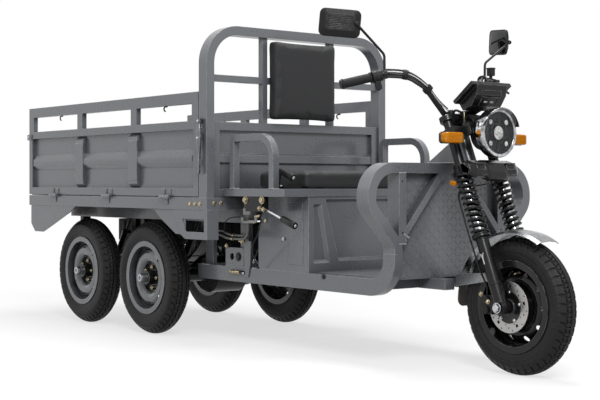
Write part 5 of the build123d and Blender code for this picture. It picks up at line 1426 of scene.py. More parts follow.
def build_signals() -> None:
    """Makes the two side signals: slanted amber lenses with black stalks and dark outboard ends."""
    x, z = BED_FRONT + 1.134, 0.877
    cut, back = rounded(0.030, 0.041, 0.006, 3), rounded(0.012, 0.044, 0.005, 3)

    def along(*rows: Corner) -> Shell:
        """The lens's outline carried across the vehicle by rows of place, size and shift."""
        return loft([level(cut, y, size=size, at=(x + shift, z)) for y, size, shift in rows])

    lens = along((0.1330, 0.80, 0.003), (0.1370, 0.96, 0.003), (0.1450, 1.0, 0.003), (0.2080, 0.98, 0.002),
                 (0.2170, 0.90, 0.000), (0.2225, 0.72, -0.002), (0.2245, 0.50, -0.003))
    cap = loft([level(back, y, size=size, at=(x - 0.0165, z)) for y, size in
                ((0.1300, 0.8), (0.1340, 1.0), (0.2180, 1.0), (0.2262, 0.70))])
    stalk = along((0.1225, 0.50, -0.002), (0.1260, 0.62, -0.002), (0.1300, 0.55, -0.001), (0.1340, 0.74, -0.001))
    arm = box((x - 0.066, 0.1222, z - 0.007), (x + 0.012, 0.1292, z + 0.012))
    pin = rod((x - 0.060, 0.1290, z + 0.003), (x - 0.060, 0.1350, z + 0.003), 0.006)
    ribs = join([rod((x + 0.0180, y, z - 0.016), (x + 0.0180, y, z + 0.016), 0.0012, 6)
                 for y in np.linspace(0.143, 0.206, 10)])
    make_piece("signal_lenses", (lens + ribs).both(), AMBER, "steering", ("signal_lamps",), crease=40)
    make_piece("signal_bodies", (cap + stalk + arm + pin).both(), GLOSSY, "steering", bevel=0.001)


def build_cowl() -> None:
    """Makes the faceted cowl on its side plates, with a raised middle, two framed scoops and a seam."""
    middle = [(0.0695, 0.498), (0.1030, 0.470), (0.1205, 0.474), (0.1270, 0.500), (0.1240, 0.537), (0.0920, 0.563),
              (0.0695, 0.563)]
    face = [(0.0695, 0.506), (0.1030, 0.484), (0.1180, 0.487), (0.1225, 0.508), (0.1205, 0.538), (0.0900, 0.562),
            (0.0695, 0.563)]
    end = [(0.0695, 0.520), (0.0960, 0.504), (0.1080, 0.507), (0.1110, 0.518), (0.1090, 0.534), (0.0840, 0.553),
           (0.0695, 0.556)]
    shell = loft([level(line, y) for y, line in
                  ((-0.131, end), (-0.108, face), (-0.052, face), (-0.043, middle), (0.043, middle), (0.052, face),
                   (0.108, face), (0.131, end))])
    wing = prism([(0.052, 0.518), (0.098, 0.504), (0.109, 0.520), (0.086, 0.552), (0.052, 0.556)], 0.126, 0.131)
    make_piece("cowl_shell", (shell + wing.both()).steered(), GLOSSY, "steering", ("fork_cowl",), bevel=0.0016,
               crease=18)
    y0, y1, low, high = 0.058, 0.102, 0.511, 0.535
    path = np.array([[0.1226, y0, low], [0.1226, y1, low], [0.1212, y1, high], [0.1212, y0, high]])
    rim = sweep(resample(path, 0.005), ring(0.0026, 8), closed=True, up=(1.0, 0.0, 0.05))
    hood = prism([(0.1190, high - 0.002), (0.1270, high - 0.004), (0.1290, high + 0.001), (0.1190, high + 0.004)],
                 y0 - 0.003, y1 + 0.003)
    slats = [box((0.1195, y0, z), (0.1232, y1, z + 0.0014)) for z in (0.5165, 0.5225, 0.5285)]
    floor = prism([(0.1160, low), (0.1229, low), (0.1215, high), (0.1160, high)], y0, y1)
    seam = prism([(0.1185, 0.4905), (0.1200, 0.4905), (0.1210, 0.4945), (0.1195, 0.4945)], 0.052, 0.108)
    make_piece("cowl_scoops", join([rim, hood, seam] + slats).both().steered(), GLOSSY, "steering", bevel=0.0005)
    make_piece("cowl_scoop_floors", floor.both().steered(), GRIP, "steering")


def build_display_trim() -> None:
    """Makes the two pale tabs and the moulded ribs on the instrument's shell."""
    low_turn, face_turn = math.radians(125.0), math.radians(96.2)
    tab = box((-0.0036, -0.0080, -0.0015), (0.0036, 0.0080, 0.0030)).turned("y", low_turn)
    tabs = join([tab.moved((1.2236, y, 1.0157)) for y in (-0.016, 0.016)])
    make_piece("display_tabs", tabs, PALE, "steering", bevel=0.0005)
    frame_rib = hoop(rounded(0.026, 0.104, 0.004, 3), 0.0, 0.004, 0.0017, 6).turned("y", face_turn)
    rails = [rod((1.2140, y, 1.0020), (1.2330, y, 1.0290), 0.0022, 8) for y in (-0.044, 0.044)]
    make_piece("display_ribs", join([frame_rib.moved((1.2410, 0, 1.0450))] + rails), GLOSSY, "steering")


# ---- handlebar --------------------------------------------------------------------------------------
BAR_LINE = np.array([[BED_FRONT + 0.961, 0.150, 1.077], [BED_FRONT + 0.920, 0.200, 1.119],
                     [BED_FRONT + 0.876, 0.262, 1.128], [BED_FRONT + 0.800, 0.430, 1.084]])


def bar_side(shell: Shell, back: float) -> Shell:
    """A part along z laid on the left end of the bar.

    Args:
        shell: the part, standing on z = 0.
        back: how far its foot lies back from the bar's end.

    Returns:
        The part in its place.
    """
    start, end = BAR_LINE[-2], BAR_LINE[-1]
    along = (end - start) / np.linalg.norm(end - start)
    return aimed(shell, end - along * back, end)


def knurl(length: float) -> Shell:
    """Grip sleeve: radius 17.5 mm plus fine crossed ridges, sin(14 t + k z) sin(14 t - k z), between two collars.

    Args:
        length: of the grip.

    Returns:
        The sleeve along z.
    """
    z = np.linspace(0, length, 120)[:, None]
    t = (np.arange(112) * TURN / 112)[None, :]
    ridges = 0.00055 * np.sin(14 * t + 420 * z) * np.sin(14 * t - 420 * z)
    collar = 0.0030 * (np.exp(-((z - 0.003) / 0.003) ** 4) + 0.8 * np.exp(-((z - length + 0.003) / 0.003) ** 4))
    body = (z > 0.009) & (z < length - 0.009)
    r = 0.0174 + np.where(body, ridges, 0.0) + collar
    points = np.stack([r * np.cos(t), r * np.sin(t), np.broadcast_to(z, r.shape)], -1)
    return grid(points, False, True, True)


def build_handlebar() -> None:
    """Makes the knurled grips, switch cases, cables taped to the bar and the clamps' bolts."""
    plug = lathe([(0, 0), (0.0182, 0), (0.0182, 0.004), (0.015, 0.0072), (0, 0.0072)], 30, "z")
    grip_length = 0.118
    grip = bar_side(knurl(grip_length), grip_length) + bar_side(plug, 0.0)
    make_piece("knurled_grips", grip.both(), GRIP, "steering", crease=60)
    case = lathe([(0.0212, 0.0), (0.0226, 0.002), (0.0226, 0.017), (0.0214, 0.0185), (0.0214, 0.0205), (0.0226, 0.022),
                  (0.0226, 0.038), (0.0212, 0.040), (0.012, 0.040), (0.012, 0.0)], 40, "z", closed=True)
    screw = lathe(rect(0, 0.003, 0, 0.0012), 12)
    screws = join([screw.moved((0.006, -0.0236, z)) for z in (0.010, 0.030)])
    make_piece("switch_cases", bar_side(case, 0.162).both(), PLASTIC, "steering")
    make_piece("switch_case_screws", bar_side(screws, 0.162).both(), ZINC, "steering")
    block = prism(rect(-0.013, 0.013, 0.018, 0.052), 0.0, 0.020, "z")
    block += box((-0.005, 0.051, 0.006), (0.005, 0.056, 0.015))
    make_piece("right_switch_block", bar_side(block, 0.150).flipped(), PLASTIC, "steering", bevel=0.0016)
    tank = box((0.9095, 0.3230, 1.1520), (0.9355, 0.3470, 1.1800))
    tank += box((0.9080, 0.3215, 1.1800), (0.9370, 0.3485, 1.1862))
    for start, end, radius in (((0.919, 0.335, 1.110), (0.9225, 0.335, 1.153), 0.0070),
                               ((0.925, 0.335, 1.138), (0.966, 0.331, 1.127), 0.0052),
                               ((0.9640, 0.331, 1.1275), (0.9700, 0.3305, 1.1260), 0.0075)):
        tank += rod(start, end, radius)
    make_piece("left_reservoir", tank, PLASTIC, "steering", bevel=0.0015)
    line = smooth_path([(1.056, 0.050, 0.980), (1.047, 0.092, 1.015), *BAR_LINE[:3],
                        BAR_LINE[2] * 0.86 + BAR_LINE[3] * 0.14], 12)
    # The pale wire is a light cable and also a painted highlight along the dark cables.
    for label, offset, radius, finish in (("sleeve", (0.010, 0.004, -0.012), 0.0062, PLASTIC),
                                          ("wire", (0.012, 0.006, 0.006), 0.0024, PALE),
                                          ("cable", (0.004, 0.004, 0.0145), 0.0040, PLASTIC)):
        make_piece(f"bar_{label}", sweep(line + offset, ring(radius, 10)).both(), finish, "steering")
    tape = lathe([(0, -0.010), (0.0190, -0.010), (0.0200, 0.0), (0.0190, 0.010), (0, 0.010)], 24, "z")
    shift = np.array((0.004, 0.002, 0.001))
    tapes = [aimed(tape, line[at] + shift, line[at + 1] + shift) for at in (22, 38)]
    make_piece("bar_tapes", join(tapes).both(), GRIP, "steering")
    clamp = bolts([(0.0068 + dx, dy, 0.8005) for dx in (-0.011, 0.011) for dy in (0.031, 0.045)], "+z", 0.0042, 0.004)
    caps = bolts([(LEG[0], LEG[1], 0.7625)], "+z", 0.0130, 0.006)
    top = bolts([(0.0, 0.0, 0.7625)], "+z", 0.0160, 0.008)
    make_piece("clamp_bolts", (clamp + caps).both().steered() + top.steered(), ZINC, "steering")


@dataclass
class Mirror:
    """Glass and rim of one mirror, on the side that faces the rider.

    Args:
        name: the pieces' first name.
        joint: its ball joint.
        sweep: how far its outer end is swept back, in degrees.
        lift: how far that end is lifted, in degrees.
        side: 1 on the left and -1 on the right.
    """

    name: str
    joint: Corner
    sweep: float
    lift: float
    side: int

    def build(self) -> None:
        """Makes the glass, its black rim and the ribs over the mirror's back."""
        turn, lift = math.radians(self.sweep), math.radians(self.lift)
        outward = np.array([-math.sin(turn) * math.cos(lift), math.cos(turn) * math.cos(lift), math.sin(lift)])
        forward = np.array([math.cos(turn), math.sin(turn), 0.0])
        rise = np.cross(forward, outward)
        centre = np.array(self.joint) + outward * 0.0615 - forward * 0.015
        frame_axes = np.column_stack([outward, rise, forward])

        def place(shell: Shell) -> Shell:
            """A part in the mirror's own frame, put in its place."""
            return Shell(shell.points @ frame_axes.T + centre, shell.quads, shell.caps).sided(self.side)

        outline = rounded(0.147, 0.096, 0.017, 6)
        glass = loft([level(outline, depth, "z", size) for size, depth in
                      ((1.0, -0.0070), (1.0, -0.0086), (0.985, -0.0090))])
        make_piece(f"{self.name}_glass", place(glass), MIRROR, "steering")
        rim = hoop(rounded(0.1535, 0.1025, 0.0195, 6), -0.0078, 0.004, 0.0022, 8)
        make_piece(f"{self.name}_rim", place(rim), PLASTIC, "steering")
        rib = hoop(rounded(0.100, 0.050, 0.010, 4), 0.0152, 0.005, 0.0011, 6)
        flutes = [rod((-0.044, height, 0.0150), (0.044, height, 0.0150), 0.0012, 6)
                  for height in np.linspace(-0.019, 0.019, 7)]
        make_piece(f"{self.name}_back_ribs", place(join([rib] + flutes)), GLOSSY, "steering")


def build_mirrors() -> None:
    """Builds both mirrors' glass and ribs."""
    Mirror("mirror_right", (BED_FRONT + 0.870, 0.418, 1.308), 38.0, 5.0, -1).build()
    Mirror("mirror_left", (BED_FRONT + 0.857, 0.438, 1.298), 70.0, 5.0, 1).build()


# ---- frame trim -----------------------------------------------------------------------------------------
def build_tread_plate() -> None:
    """Lays the apron's raised bars: short lozenges that lean left and right by turns along rows and columns."""
    step, length, width, height = 0.0235, 0.0205, 0.0038, 0.0016
    x0, low, high, half = BED_FRONT + 0.935, 0.356, 0.722, 0.237
    y, z = np.meshgrid(np.arange(-half, half + 1e-6, step), np.arange(low, high, step), indexing="ij")
    column, row = np.meshgrid(np.arange(y.shape[0]), np.arange(y.shape[1]), indexing="ij")
    turn = np.where((column + row) % 2 == 0, math.pi / 4, -math.pi / 4).ravel()
    ends = np.array([[-1, 0], [-0.55, -1], [0.55, -1], [1, 0], [0.55, 1], [-0.55, 1]]) * np.array([length, width]) / 2
    top = ends * np.array([0.84, 0.55])
    c, s = np.cos(turn), np.sin(turn)
    points = []
    for level, corners in ((0.0, ends), (height, top)):
        py = y.ravel()[:, None] + corners[:, 0] * c[:, None] - corners[:, 1] * s[:, None]
        pz = z.ravel()[:, None] + corners[:, 0] * s[:, None] + corners[:, 1] * c[:, None]
        points.append(np.stack([np.full_like(py, x0 + level), py, pz], -1))
    both = np.concatenate(points, 1)
    count = len(both)
    first = (np.arange(count) * 12)[:, None, None]
    number = np.arange(6)
    sides = np.stack([number, (number + 1) % 6, (number + 1) % 6 + 6, number + 6], -1)
    lids = np.array([[6, 7, 8, 9], [9, 10, 11, 6], [3, 2, 1, 0], [0, 5, 4, 3]])
    quads = (first + np.vstack([sides, lids])[None]).reshape(-1, 4)
    # The bars' lighter paint is partly wear and partly a painted highlight.
    make_piece("apron_tread_bars", Shell(both.reshape(-1, 3), quads), TREAD, "chassis", crease=20)


def weld(start: Corner, end: Corner, radius: float) -> Shell:
    """Straight weld bead: a round section whose radius ripples along its length.

    Args:
        start: one end of the seam.
        end: its other end.
        radius: of the bead.

    Returns:
        The bead.
    """
    first, last = np.array(start, float), np.array(end, float)
    length = np.linalg.norm(last - first)
    at = np.linspace(0, length, max(6, int(length / 0.0016)))
    line = first + (last - first) * (at / length)[:, None]
    ripple = 1.0 + 0.22 * np.sin(at / 0.0042 * TURN) + 0.10 * np.sin(at / 0.023 * TURN)
    section = ring(1.0, 8)[None] * (radius * ripple)[:, None, None]
    upright = abs(last[2] - first[2]) > 0.5 * length
    return sweep(line, section, up=(0.3, 0.5, 0.81) if upright else (0.0, 0.3, 0.95))


def build_welds() -> None:
    """Makes the weld beads where the frame's tubes meet."""
    front, loop_back = BED_FRONT + 0.965, BED_FRONT + 0.900
    seams = [((front - 0.001, 0.251, z), (front - 0.001, 0.287, z), 0.0030) for z in (0.747, 0.478)]
    seams.append(((front - 0.002, 0.236, 0.500), (front - 0.002, 0.262, 0.516), 0.0042))
    seams.append(((front - 0.004, 0.252, 0.486), (front - 0.004, 0.252, 0.515), 0.0040))
    for x in (BED_FRONT - 0.305, BED_FRONT - 0.030):
        seams += [((x - 0.030, y, z), (x + 0.030, y, z), 0.0030) for y, z in ((0.310, 0.3395), (0.290, 0.5335))]
    height = 0.6855
    for x in (BED_FRONT + 0.085, BED_FRONT + 0.362):
        seams.append(((x - 0.015, 0.4402, height), (x + 0.015, 0.4402, height), 0.0026))
        seams.append(((x + 0.0152, 0.4102, height), (x + 0.0152, 0.4400, height), 0.0026))
    seams += [((x, 0.500, 0.722), (x, 0.5105, 0.722), 0.0020) for x in STRAPS]
    seams += [((loop_back - 0.058, y, 0.7868), (loop_back + 0.120, y, 0.7868), 0.0030) for y in (-0.022, 0.022)]
    make_piece("frame_welds", join([weld(*seam) for seam in seams]).both(), WELD, "chassis", crease=180)


def build_bolts() -> None:
    """Makes the bolts of the bed, the seat frame, the levers and the rail plates."""
    yellow = bolts([(x, -0.5115, 0.618) for x in (-0.0536, -0.0142, 0.0247)], "-y", 0.0078, 0.0055).both()
    yellow += bolts([(BED_FRONT, y, 0.621) for y in (-0.4735, -0.4372)], "+x", 0.0078, 0.0055).both()
    yellow += bolts([(BED_FRONT + x, BRACKET_Y, 0.638) for x in (0.182, 0.298)], "-y", 0.0125, 0.0080)
    yellow += bolts([(0.3541, BRACKET_Y, 0.604), (0.3819, BRACKET_Y, 0.600)], "-y", 0.0075, 0.0060)
    yellow += rod((0.330, BRACKET_Y - 0.004, 0.570), (0.362, BRACKET_Y - 0.004, 0.574), 0.0055)
    yellow += rod((0.396, BRACKET_Y - 0.003, 0.548), (0.404, BRACKET_Y - 0.003, 0.560), 0.0055)
    yellow += bolts([(-0.062, -0.3125, 0.430), (0.064, -0.318, 0.452)], "-y", 0.0075, 0.0055)
    make_piece("yellow_bolts", yellow, BRASS, "chassis", bevel=0.0006)
    black = bolts([(BED_FRONT + 0.544, -0.310, 0.330)], "-y", 0.0065, 0.0045)
    black += bolts([(BED_FRONT - 0.048, -0.3100, 0.385)], "-y", 0.0150, 0.0070)
    knob = lathe([(0, 0), (0.0100, 0), (0.0100, 0.004), (0.0060, 0.008), (0, 0.0085)], 24, "z")
    black += knob.turned(*FACING["-y"]).moved((0.6184, -0.310, 0.3335))
    make_piece("black_bolts", black, ENAMEL, "chassis", bevel=0.0006)
    zinc = bolts([(0.1501, -0.3125, 0.3768), (0.3562, -0.3150, 0.4746)], "-y", 0.0055, 0.0040)
    for foot, tip, radius in ((BRAKE_LEVER_FOOT, (BED_FRONT + 0.503, -0.424, 0.537), 0.0065),
                              (GEAR_LEVER_FOOT, (BED_FRONT + 0.438, -0.382, 0.729), 0.0070)):
        button = lathe([(0, -0.002), (radius, -0.002), (radius, 0.003), (0.004, 0.005), (0, 0.005)], 20, "z")
        zinc += aimed(button, tip, 2 * np.array(tip) - foot)
    zinc += bolts([(BED_FRONT + 0.335, -0.366, 0.695)], "+z", 0.0060, 0.004)
    make_piece("bright_bolts", zinc, ZINC, "chassis", bevel=0.0005)


def build_lever_trim() -> None:
    """Makes the parking brake's bright rod, pale blocks, hose clamps and pull spring."""
    start = (BED_FRONT + 0.286, -0.4220, 0.606)
    make_piece("brake_lever_rod", rod(start, BRAKE_LEVER_FOOT, 0.0064), ZINC, "chassis")
    grips = []
    for foot, tip, thin, thick in ((BRAKE_LEVER_FOOT, (BED_FRONT + 0.5015, -0.4240, 0.5375), 0.0118, 0.0150),
                                   (GEAR_LEVER_FOOT, (BED_FRONT + 0.4365, -0.382, 0.7295), 0.0132, 0.0158)):
        length = math.dist(foot, tip)
        at = [(0, -0.002), (thin * 0.8, -0.002), (thin, 0.004)]
        at += [(thin + (thick - thin) * share ** 0.8 - 0.0010 * (number % 2), length * (0.06 + 0.78 * share))
               for number, share in enumerate(np.linspace(0, 1, 9))]
        at += [(thick, length - 0.008), (thick * 0.86, length - 0.001), (0, length - 0.0005)]
        grips.append(aimed(lathe(at, 32, "z"), foot, tip))
    make_piece("lever_grips", join(grips), GRIP, "chassis", crease=50)
    make_piece("hose_block", box((0.1020, -0.3420, 0.572), (0.1430, -0.3300, 0.600)), PALE, "chassis", bevel=0.002)
    saddle = [(x, -0.3390, z) for x, z in ((0.098, 0.5600), (0.098, 0.5420), (0.150, 0.5420), (0.192, 0.5440),
                                          (0.192, 0.5620))]
    make_piece("hose_saddle", wire(saddle, 0.0060, 8, 10, (0, 1, 0)), PALE, "chassis")
    clamp = lathe(rect(0.0052, 0.0078, -0.006, 0.006), 20, "z", closed=True)
    bands = [aimed(clamp, place, np.array(place) + [1, 0, 0])
             for place in ((0.006, -0.3225, 0.4790), (0.010, -0.3318, 0.4646))]
    bands.append(rod((0.052, -0.3260, 0.4560), (0.092, -0.3260, 0.4580), 0.0048))
    make_piece("hose_clamps", join(bands), BRASS, "chassis")
    x, length, z = BED_FRONT - 0.102, 0.092, 0.318
    t = np.linspace(0, 1, 420)
    angle = t * 21 * TURN
    coil = np.stack([x + 0.004 + (length - 0.020) * t, -0.3175 + 0.0066 * np.cos(angle),
                     z + 0.0066 * np.sin(angle)], -1)
    make_piece("pull_spring", sweep(coil, ring(0.0016, 6)), BRASS, "chassis", crease=180)
    ball = lathe([(0, -0.0062), (0.004, -0.0050), (0.0062, 0), (0.004, 0.0050), (0, 0.0062)], 18)
    make_piece("pull_spring_ball", ball.moved((x + length + 0.006, -0.3170, z - 0.002)), ZINC, "chassis")
    lines = wire([(-0.070, -0.318, 0.490), (-0.040, -0.335, 0.535), (0.010, -0.340, 0.556), (0.080, -0.342, 0.562)],
                 0.0022)
    lines += wire([(0.350, -0.425, 0.560), (0.320, -0.420, 0.500), (0.255, -0.400, 0.440), (0.215, -0.360, 0.380),
                   (0.205, -0.330, 0.345)], 0.0028)
    make_piece("thin_lines", lines, GRIP, "chassis")


def gate_pieces(*rows: tuple[str, Shell, Finish, float]) -> None:
    """Makes pieces of the left gate and their mirror images on the right one.

    Args:
        rows: end of the name, surface on the left, finish and bevel of each piece.
    """
    for side, sign in SIDES:
        for name, shell, finish, bevel in rows:
            make_piece(f"gate_{side}_{name}", shell.sided(sign), finish, f"gate_{side}", bevel=bevel)


def build_gate_trim() -> None:
    """Makes the gates' hooks, keepers, pressed chamfers, seals and hinge sleeves, and the latches on the hoop."""
    hook = wire([(0.016, 0.0, 0.0), (0.004, 0.0, 0.0), (-0.006, 0.0, -0.002), (-0.011, 0.0, -0.008),
                 (-0.008, 0.0, -0.016), (-0.001, 0.0, -0.021)], 0.0034, 6, up=(0, 1, 0))
    hooks = join([hook.moved((x, 0.5040, 1.0500)) for x in (-1.267, -0.268)])
    keeper_x = -1.606
    keeper = box((keeper_x - 0.022, 0.5105, 0.936), (keeper_x + 0.022, 0.5180, 0.966))
    pin = bolts([(keeper_x, 0.5178, 0.951)], "+y", 0.0060, 0.0045)
    gate_pieces(("hooks", hooks, ENAMEL, 0.0), ("keeper", keeper, PAINT, 0.0018), ("keeper_pin", pin, ZINC, 0.0))
    panel, rib_out, strap_out, strap_half = 0.4930, 0.5112, 0.5150, 0.0405
    rib = [(panel, 0.858), (rib_out, 0.826), (rib_out, 0.806), (panel, 0.776)]
    strap = [(panel, 0.694), (strap_out, 0.722), (strap_out, 0.905), (panel, 0.936)]
    edges = [(x - strap_half, x + strap_half) for x in STRAPS]
    runs = ((-1.566, edges[0][0]), (edges[0][1], edges[1][0]), (edges[1][1], -0.041))
    pressed = join([prism(rib, *run, "x") for run in runs] + [prism(strap, *edge, "x") for edge in edges])
    seal = box((-1.610, 0.4890, 0.6468), (0.004, 0.4990, 0.6510))
    # The hinge sleeves take the lighter tread paint as a painted highlight.
    sleeve = lathe([(0.0074, -0.0112), (0.0087, -0.0112), (0.0095, -0.0100), (0.0095, 0.0100), (0.0087, 0.0112),
                    (0.0074, 0.0112)], 20, "x", closed=True)
    pair = join([sleeve.moved((shift, 0, 0)) for shift in (-0.0250, 0.0250)])
    middles = join([sleeve.moved(spot) for spot in SIDE_HINGES]).both()
    middles += join([sleeve.turned("z", QUARTER).moved(spot) for spot in TAIL_HINGES])
    make_piece("hinge_middles", middles, TREAD, "chassis")
    gate_pieces(("pressings", pressed, PAINT, 0.002), ("seal", seal, GRIP, 0.0),
                ("hinge_barrels", join([pair.moved(spot) for spot in SIDE_HINGES]), TREAD, 0.0))
    tail = join([pair.turned("z", QUARTER).moved(spot) for spot in TAIL_HINGES])
    make_piece("tailgate_hinge_barrels", tail, TREAD, "tailgate")
    x, y = BED_FRONT - 0.037, 0.5275
    eye = lathe(rect(0.0070, 0.0125, -0.004, 0.004), 24, closed=True)
    bar = rounded(1.0, 1.0, 0.3, 3)
    rows = ((0.012, 0.748), (0.015, 0.790), (0.019, 0.840), (0.030, 0.880), (0.034, 0.912), (0.026, 0.945),
            (0.018, 0.962))
    parts = [eye.moved((x, y, 0.972)), rod((x - 0.018, y, 0.902), (x + 0.018, y, 0.902), 0.0050),
             loft([level(bar, z, "z", np.array([wide, 0.012]), (x, y)) for wide, z in rows]),
             box((x - 0.013, y - 0.010, 0.962), (x + 0.013, y + 0.004, 0.985))]
    make_piece("gate_latch_levers", join(parts).both(), LATCH, "chassis", bevel=0.001)
    pins = bolts([(x, y + 0.003, 0.974)], "+y", 0.0060, 0.004) + bolts([(x, y + 0.005, 0.902)], "+y", 0.0055, 0.004)
    make_piece("gate_latch_pins", pins.both(), ZINC, "chassis")


def build_fork_trim() -> None:
    """Makes the fork's axle nuts, caliper bolts, hose clip, bands and reflectors."""
    face = -0.1195
    nuts = bolts([(LEG[0], 0.1240, 0.0)], "+y", 0.0150, 0.0095).both().steered()
    make_piece("front_axle_nuts", nuts, ZINC, "steering", bevel=0.0008)
    caliper = bolts([(1.3002, face, 0.2997), (1.3350, face, 0.2740)], "-y", 0.0068, 0.0060)
    make_piece("caliper_bolts", caliper, BRASS, "steering", bevel=0.0005)
    clip = [wire([(LEG[0] + 0.008 * sign, face, 0.210), (LEG[0] + 0.001 * sign, face - 0.001, 0.196),
                  (LEG[0], face - 0.001, 0.168)], 0.0022, 6, up=(0, 1, 0)) for sign in (-1, 1)]
    make_piece("hose_clip", join(clip).steered(), PALE, "steering")
    boots = lathe([(0.0240, 0.262), (0.0262, 0.262), (0.0262, 0.2690), (0.0240, 0.2700)], 32, "z", closed=True)
    band = lathe([(0.0238, 0.085), (0.0252, 0.087), (0.0252, 0.095), (0.0238, 0.097)], 32, "z", closed=True)
    make_piece("fork_bands", (boots + band).moved(LEG).both().steered(), PLASTIC, "steering")
    oval = rounded(0.030, 0.016, 0.006, 5)
    mark = loft([level(oval, y, size=size) for size, y in ((1.0, 0.0), (1.0, -0.0050), (0.90, -0.0072))])
    mark = mark.turned("y", math.radians(14)).moved((1.1670, -0.1270, 0.7080))
    for side, sign in (("right", 1), ("left", -1)):
        make_piece(f"fork_reflector_{side}", mark.sided(sign), AMBER, "steering")


def build_loom() -> None:
    """Makes the wires between the fork's upper clamp, the lamp's back and the instrument."""
    runs = [((1.090, y0, 0.960), (1.135, y0 * 1.5, 0.985 - 0.012 * number), (1.160, y1, 0.955 - 0.010 * number),
             (1.172, y1 * 0.6, 0.925)) for number, (y0, y1) in
            enumerate(((-0.055, -0.030), (-0.030, -0.062), (-0.010, -0.020), (0.020, 0.040), (0.045, 0.015)))]
    wires = join([wire(run, 0.0046) for run in runs]) + box((1.096, -0.050, 0.938), (1.140, 0.030, 0.972))
    make_piece("wiring_loom", wires, PLASTIC, "steering")
    thin = wire([(1.165, -0.070, 0.985), (1.170, -0.074, 0.960), (1.166, -0.070, 0.930)], 0.0018, 8, up=(0, 1, 0))
    make_piece("lamp_wire", thin, BRASS, "steering")


def build_mud_flap() -> None:
    """Makes the front wheel's flap: a crowned strip on an arc about the axle, rounded at its lower corners."""
    turn = np.radians(np.concatenate([np.linspace(157.5, 178, 12), np.linspace(179, 184, 10)]))
    share = np.clip((turn - turn[11]) / (turn[-1] - turn[11]), 0, 1)
    half = 0.0435 * np.sqrt(np.maximum(1 - (0.93 * share) ** 2, 0.05))
    across = np.linspace(-1, 1, 13)
    y = half[:, None] * across[None, :]
    crown = 0.2815 - 0.005 * (y / 0.044) ** 2
    outer, inner = crown, crown[:, ::-1] - 0.0040
    r, y = np.hstack([outer, inner]), np.hstack([y, y[:, ::-1]])
    c, s = np.cos(turn)[:, None], np.sin(turn)[:, None]
    flap = grid(np.stack([r * c, y, r * s], -1), False, True, True).moved(FRONT_AXLE)
    make_piece("mud_flap_rubber", flap, RUBBER, "steering", ("mud_flap",))


def build_underbed_dark_block() -> None:
    """Makes a black ribbed block under the bed: a guessed part whose black also stands in for the shade seen through
    under the bed.
    """
    wide, low, high, back, front = 0.105, 0.405, 0.520, -1.380, -0.010
    dark_block = box((back, -wide, low), (front, wide, high))
    for x in np.arange(back + 0.06, front, 0.11):
        dark_block += box((x, -wide - 0.004, low + 0.010), (x + 0.012, wide + 0.004, high - 0.010))
    make_piece("underbed_dark_block", dark_block, CASE, "chassis", bevel=0.003)


def dress_frame() -> None:
    """Gives each carried-over node its finish."""
    dress(PAINT, "low_frame", "upper_frame", "frame_risers", "guard_frame", "head_tube", "apron_plate",
          "footwell_floor", "seat_box", "seat_frame", "bed_frame", "bed_floor", "headboard", "roll_hoop",
          "bed_skirts", "gate_left", "gate_right", "tailgate")
    dress(ENAMEL, "rear_axles", "rear_suspension", "fork", "handlebar", "hand_levers",
          "brake_line", "brake_caliper")
    dress(GREY_HOSE, "brake_hoses")
    dress(CASE, "battery_block")
    dress(GLOSSY, "display")
    dress(PLASTIC, "mirrors")
    dress(GRIP, "hand_grips")
    dress(PLATING, "front_fender")
    dress(RED, "tail_lamps")


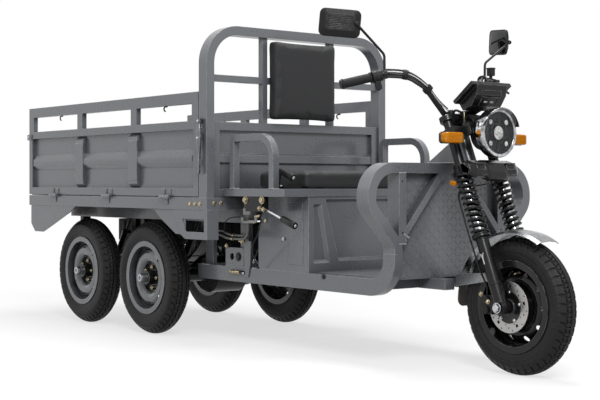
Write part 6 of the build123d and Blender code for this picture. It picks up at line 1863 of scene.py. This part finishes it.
# ---- studio ---------------------------------------------------------------------------------------
@dataclass
class Studio:
    """Pale floor, soft lamps, white surroundings and the camera.

    Args:
        eye: the camera's place.
        azimuth: its turn about the vertical, in degrees.
        lens: focal length in millimetres on a 36 mm sensor.
        shift: vertical shift of the frame.
    """

    eye: Corner = (4.512, -3.485, 0.7067)
    azimuth: float = 51.9
    lens: float = 75.0
    shift: float = -0.0275

    def camera(self) -> None:
        """Makes the camera."""
        data = bpy.data.cameras.new("camera")
        data.lens, data.sensor_width, data.shift_y = self.lens, 36.0, self.shift
        data.clip_start, data.clip_end = 0.1, 100.0
        camera = bpy.data.objects.new("camera", data)
        camera.location = self.eye
        camera.rotation_euler = (math.radians(90.0), 0.0, math.radians(self.azimuth))
        bpy.context.scene.collection.objects.link(camera)
        bpy.context.scene.camera = camera

    def lamp(self, name: str, place: Corner, aim: Corner, size: float,
             power: float) -> None:
        """Makes one square area lamp.

        Args:
            name: its name.
            place: its centre.
            aim: the point that it faces.
            size: its side, in metres.
            power: watts.
        """
        data = bpy.data.lights.new(name, "AREA")
        data.energy, data.size = power, size
        lamp = bpy.data.objects.new(name, data)
        lamp.location = place
        lamp.rotation_euler = (Vector(aim) - Vector(place)).to_track_quat("-Z", "Y").to_euler()
        bpy.context.scene.collection.objects.link(lamp)

    def floor(self) -> None:
        """Makes the pale floor, white to the camera, to gloss and to glass, that keeps shadows."""
        size = 60.0
        line = np.linspace(-size, size, 3)
        x, y = np.meshgrid(line, line, indexing="ij")
        shell = grid(np.stack([x, y, np.zeros_like(x)], -1), False, False)
        mesh = bpy.data.meshes.new("floor")
        mesh.from_pydata(shell.points.tolist(), [], shell.quads[:, ::-1].tolist())
        floor = bpy.data.objects.new("floor", mesh)
        bpy.context.scene.collection.objects.link(floor)
        made = bpy.data.materials.new("studio_floor")
        made.use_nodes = True
        mesh.materials.append(made)
        n = Nodes(made.node_tree)
        camera_ray = n.add("ShaderNodeLightPath").outputs["Is Camera Ray"]
        tone = n.mix(camera_ray, (0.40, 0.40, 0.40, 1), (0.86, 0.86, 0.86, 1))
        shader = n.add("ShaderNodeBsdfPrincipled", {"Base Color": tone, "Roughness": 0.9, "Specular IOR Level": 0.0})
        white = n.add("ShaderNodeEmission", {"Color": (1, 1, 1, 1), "Strength": 1.0})
        across = n.vector("MULTIPLY", {0: n.place(), 1: (1 / 2.1, 1 / 1.25, 1.0)})
        fade = n.ramp(n.vector("LENGTH", {0: across}, "Value"), 0.95, 1.7, 0.66, 1.0, "SMOOTHSTEP")
        both = n.add("ShaderNodeMixShader", {0: n.math("MULTIPLY", fade, n.seen()), 1: shader.outputs[0],
                                             2: white.outputs[0]})
        n.add("ShaderNodeOutputMaterial", {"Surface": both.outputs[0]})

    def world(self) -> None:
        """Makes the surroundings: soft white light, and pure white where seen."""
        world = bpy.data.worlds.new("studio")
        world.use_nodes = True
        bpy.context.scene.world = world
        n = Nodes(world.node_tree)
        back = n.add("ShaderNodeBackground", {"Color": (1, 1, 1, 1), "Strength": n.ramp(n.seen(), 0.0, 1.0, 0.50, 1.0)})
        n.add("ShaderNodeOutputWorld", {"Surface": back.outputs[0]})

    def build(self) -> None:
        """Makes the whole studio."""
        bpy.context.scene.view_settings.view_transform = "Standard"
        self.camera()
        self.floor()
        self.world()
        self.lamp("key_lamp", (4.4, -2.6, 3.8), (0.2, 0, 0.6), 1.8, 190.0)
        self.lamp("side_lamp", (-2.8, -4.4, 3.6), (-0.4, 0, 0.6), 2.0, 20.0)
        self.lamp("top_lamp", (0.0, 0.4, 4.6), (0.0, 0, 0.5), 2.4, 170.0)


def main() -> None:
    """Builds the studio and each sub-assembly in order."""
    logging.basicConfig(level=logging.INFO, format="%(message)s")
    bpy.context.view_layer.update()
    for build in (Studio().build, dress_frame, build_wheels, ForkSprings().build, build_pads, Headlight().build,
                  build_signals, build_cowl, build_display_trim, build_handlebar, build_mirrors, build_tread_plate,
                  build_welds, build_bolts, build_lever_trim, build_gate_trim, build_fork_trim, build_loom,
                  build_mud_flap, build_underbed_dark_block):
        build()


if __name__ == "__main__":
    main()
